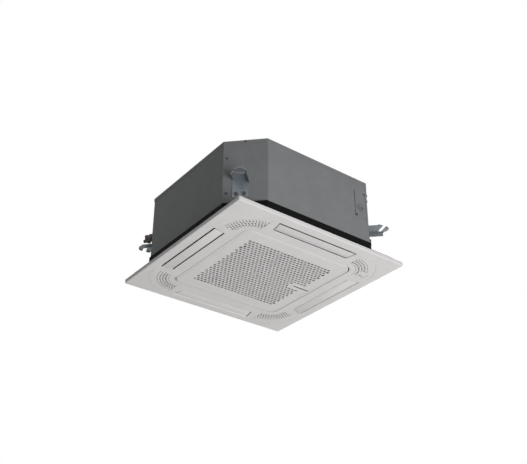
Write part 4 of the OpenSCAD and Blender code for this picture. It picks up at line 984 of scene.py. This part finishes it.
def backdropRays(tree):  # 1 where the backdrop is seen: by the camera, in a gloss or through glass
    seen = addNode(tree, "LightPath", {}, {}).outputs
    direct = addNode(tree, "Math", {"operation": "MAXIMUM"}, {
        0: seen["Is Camera Ray"], 1: seen["Is Glossy Ray"]})
    return addNode(tree, "Math", {"operation": "MAXIMUM"}, {
        0: direct.outputs[0], 1: seen["Is Transmission Ray"]}).outputs[0]


def buildStage(look):
    floor = bpy.data.meshes.new("floor")
    r, z = look["floorHalf"], -look["floorDepth"]
    floor.from_pydata([(-r, -r, z), (r, -r, z), (r, r, z), (-r, r, z)], [], [(0, 1, 2, 3)])
    plane = bpy.data.objects.new("floor", floor)
    bpy.context.scene.collection.objects.link(plane)
    material, tree, place, shader = startFinish("paleFloorPaint", "ECEBE9", 0.0, 0.7, {})
    tree.links.new(twoTone(tree, mottle(tree, place, 700, 0, 1), "EAE9E7", "EEEDEB"),
                   shader.inputs["Base Color"])
    shader.inputs["Emission Color"].default_value = hexLinear("ECEBE9")
    glow = addNode(tree, "MapRange", {}, {"Value": backdropRays(tree), "To Max": look["floorGlow"]})
    tree.links.new(glow.outputs[0], shader.inputs["Emission Strength"])
    floor.materials.append(material)
    world = bpy.data.worlds.new("studio")
    bpy.context.scene.world = world
    world.use_nodes = True
    tree = world.node_tree
    tree.nodes.clear()
    level = addNode(tree, "MapRange", {}, {
        "Value": backdropRays(tree), "To Min": look["ambient"], "To Max": 1.0})
    sky = addNode(tree, "Background", {}, {"Color": (1, 1, 1, 1), "Strength": level.outputs[0]})
    addNode(tree, "OutputWorld", {}, {"Surface": sky.outputs[0]})
    for name in ("front", "back", "left", "right"):
        x, y, z, size, watts = look[name]
        lamp = bpy.data.lights.new(name + "Softbox", "AREA")
        lamp.shape, lamp.size, lamp.energy = "DISK", size, watts
        holder = bpy.data.objects.new(name + "Softbox", lamp)
        holder.location = (x, y, z)
        holder.rotation_mode = "QUATERNION"
        holder.rotation_quaternion = (Vector(look["aim"]) - holder.location).to_track_quat("-Z", "Y")
        holder.visible_camera = False
        bpy.context.scene.collection.objects.link(holder)


buildStage(studio)
cameraPlace = {
    "at": (-1.435774, -1.892161, -1.263971), "towards": (0.522357, 0.684285, 0.50882), "lens": 58.7643,
    "sensor": 36, "sees": 60}  # mm wide, m far
lens = bpy.data.cameras.new("camera")
lens.sensor_width, lens.lens, lens.clip_end = cameraPlace["sensor"], cameraPlace["lens"], cameraPlace["sees"]
camera = bpy.data.objects.new("camera", lens)
camera.location = cameraPlace["at"]
camera.rotation_mode = "QUATERNION"
camera.rotation_quaternion = Vector(cameraPlace["towards"]).to_track_quat("-Z", "Y")
bpy.context.scene.collection.objects.link(camera)
bpy.context.scene.camera = camera
bpy.context.scene.view_settings.view_transform = "Standard"

print("stage ready")
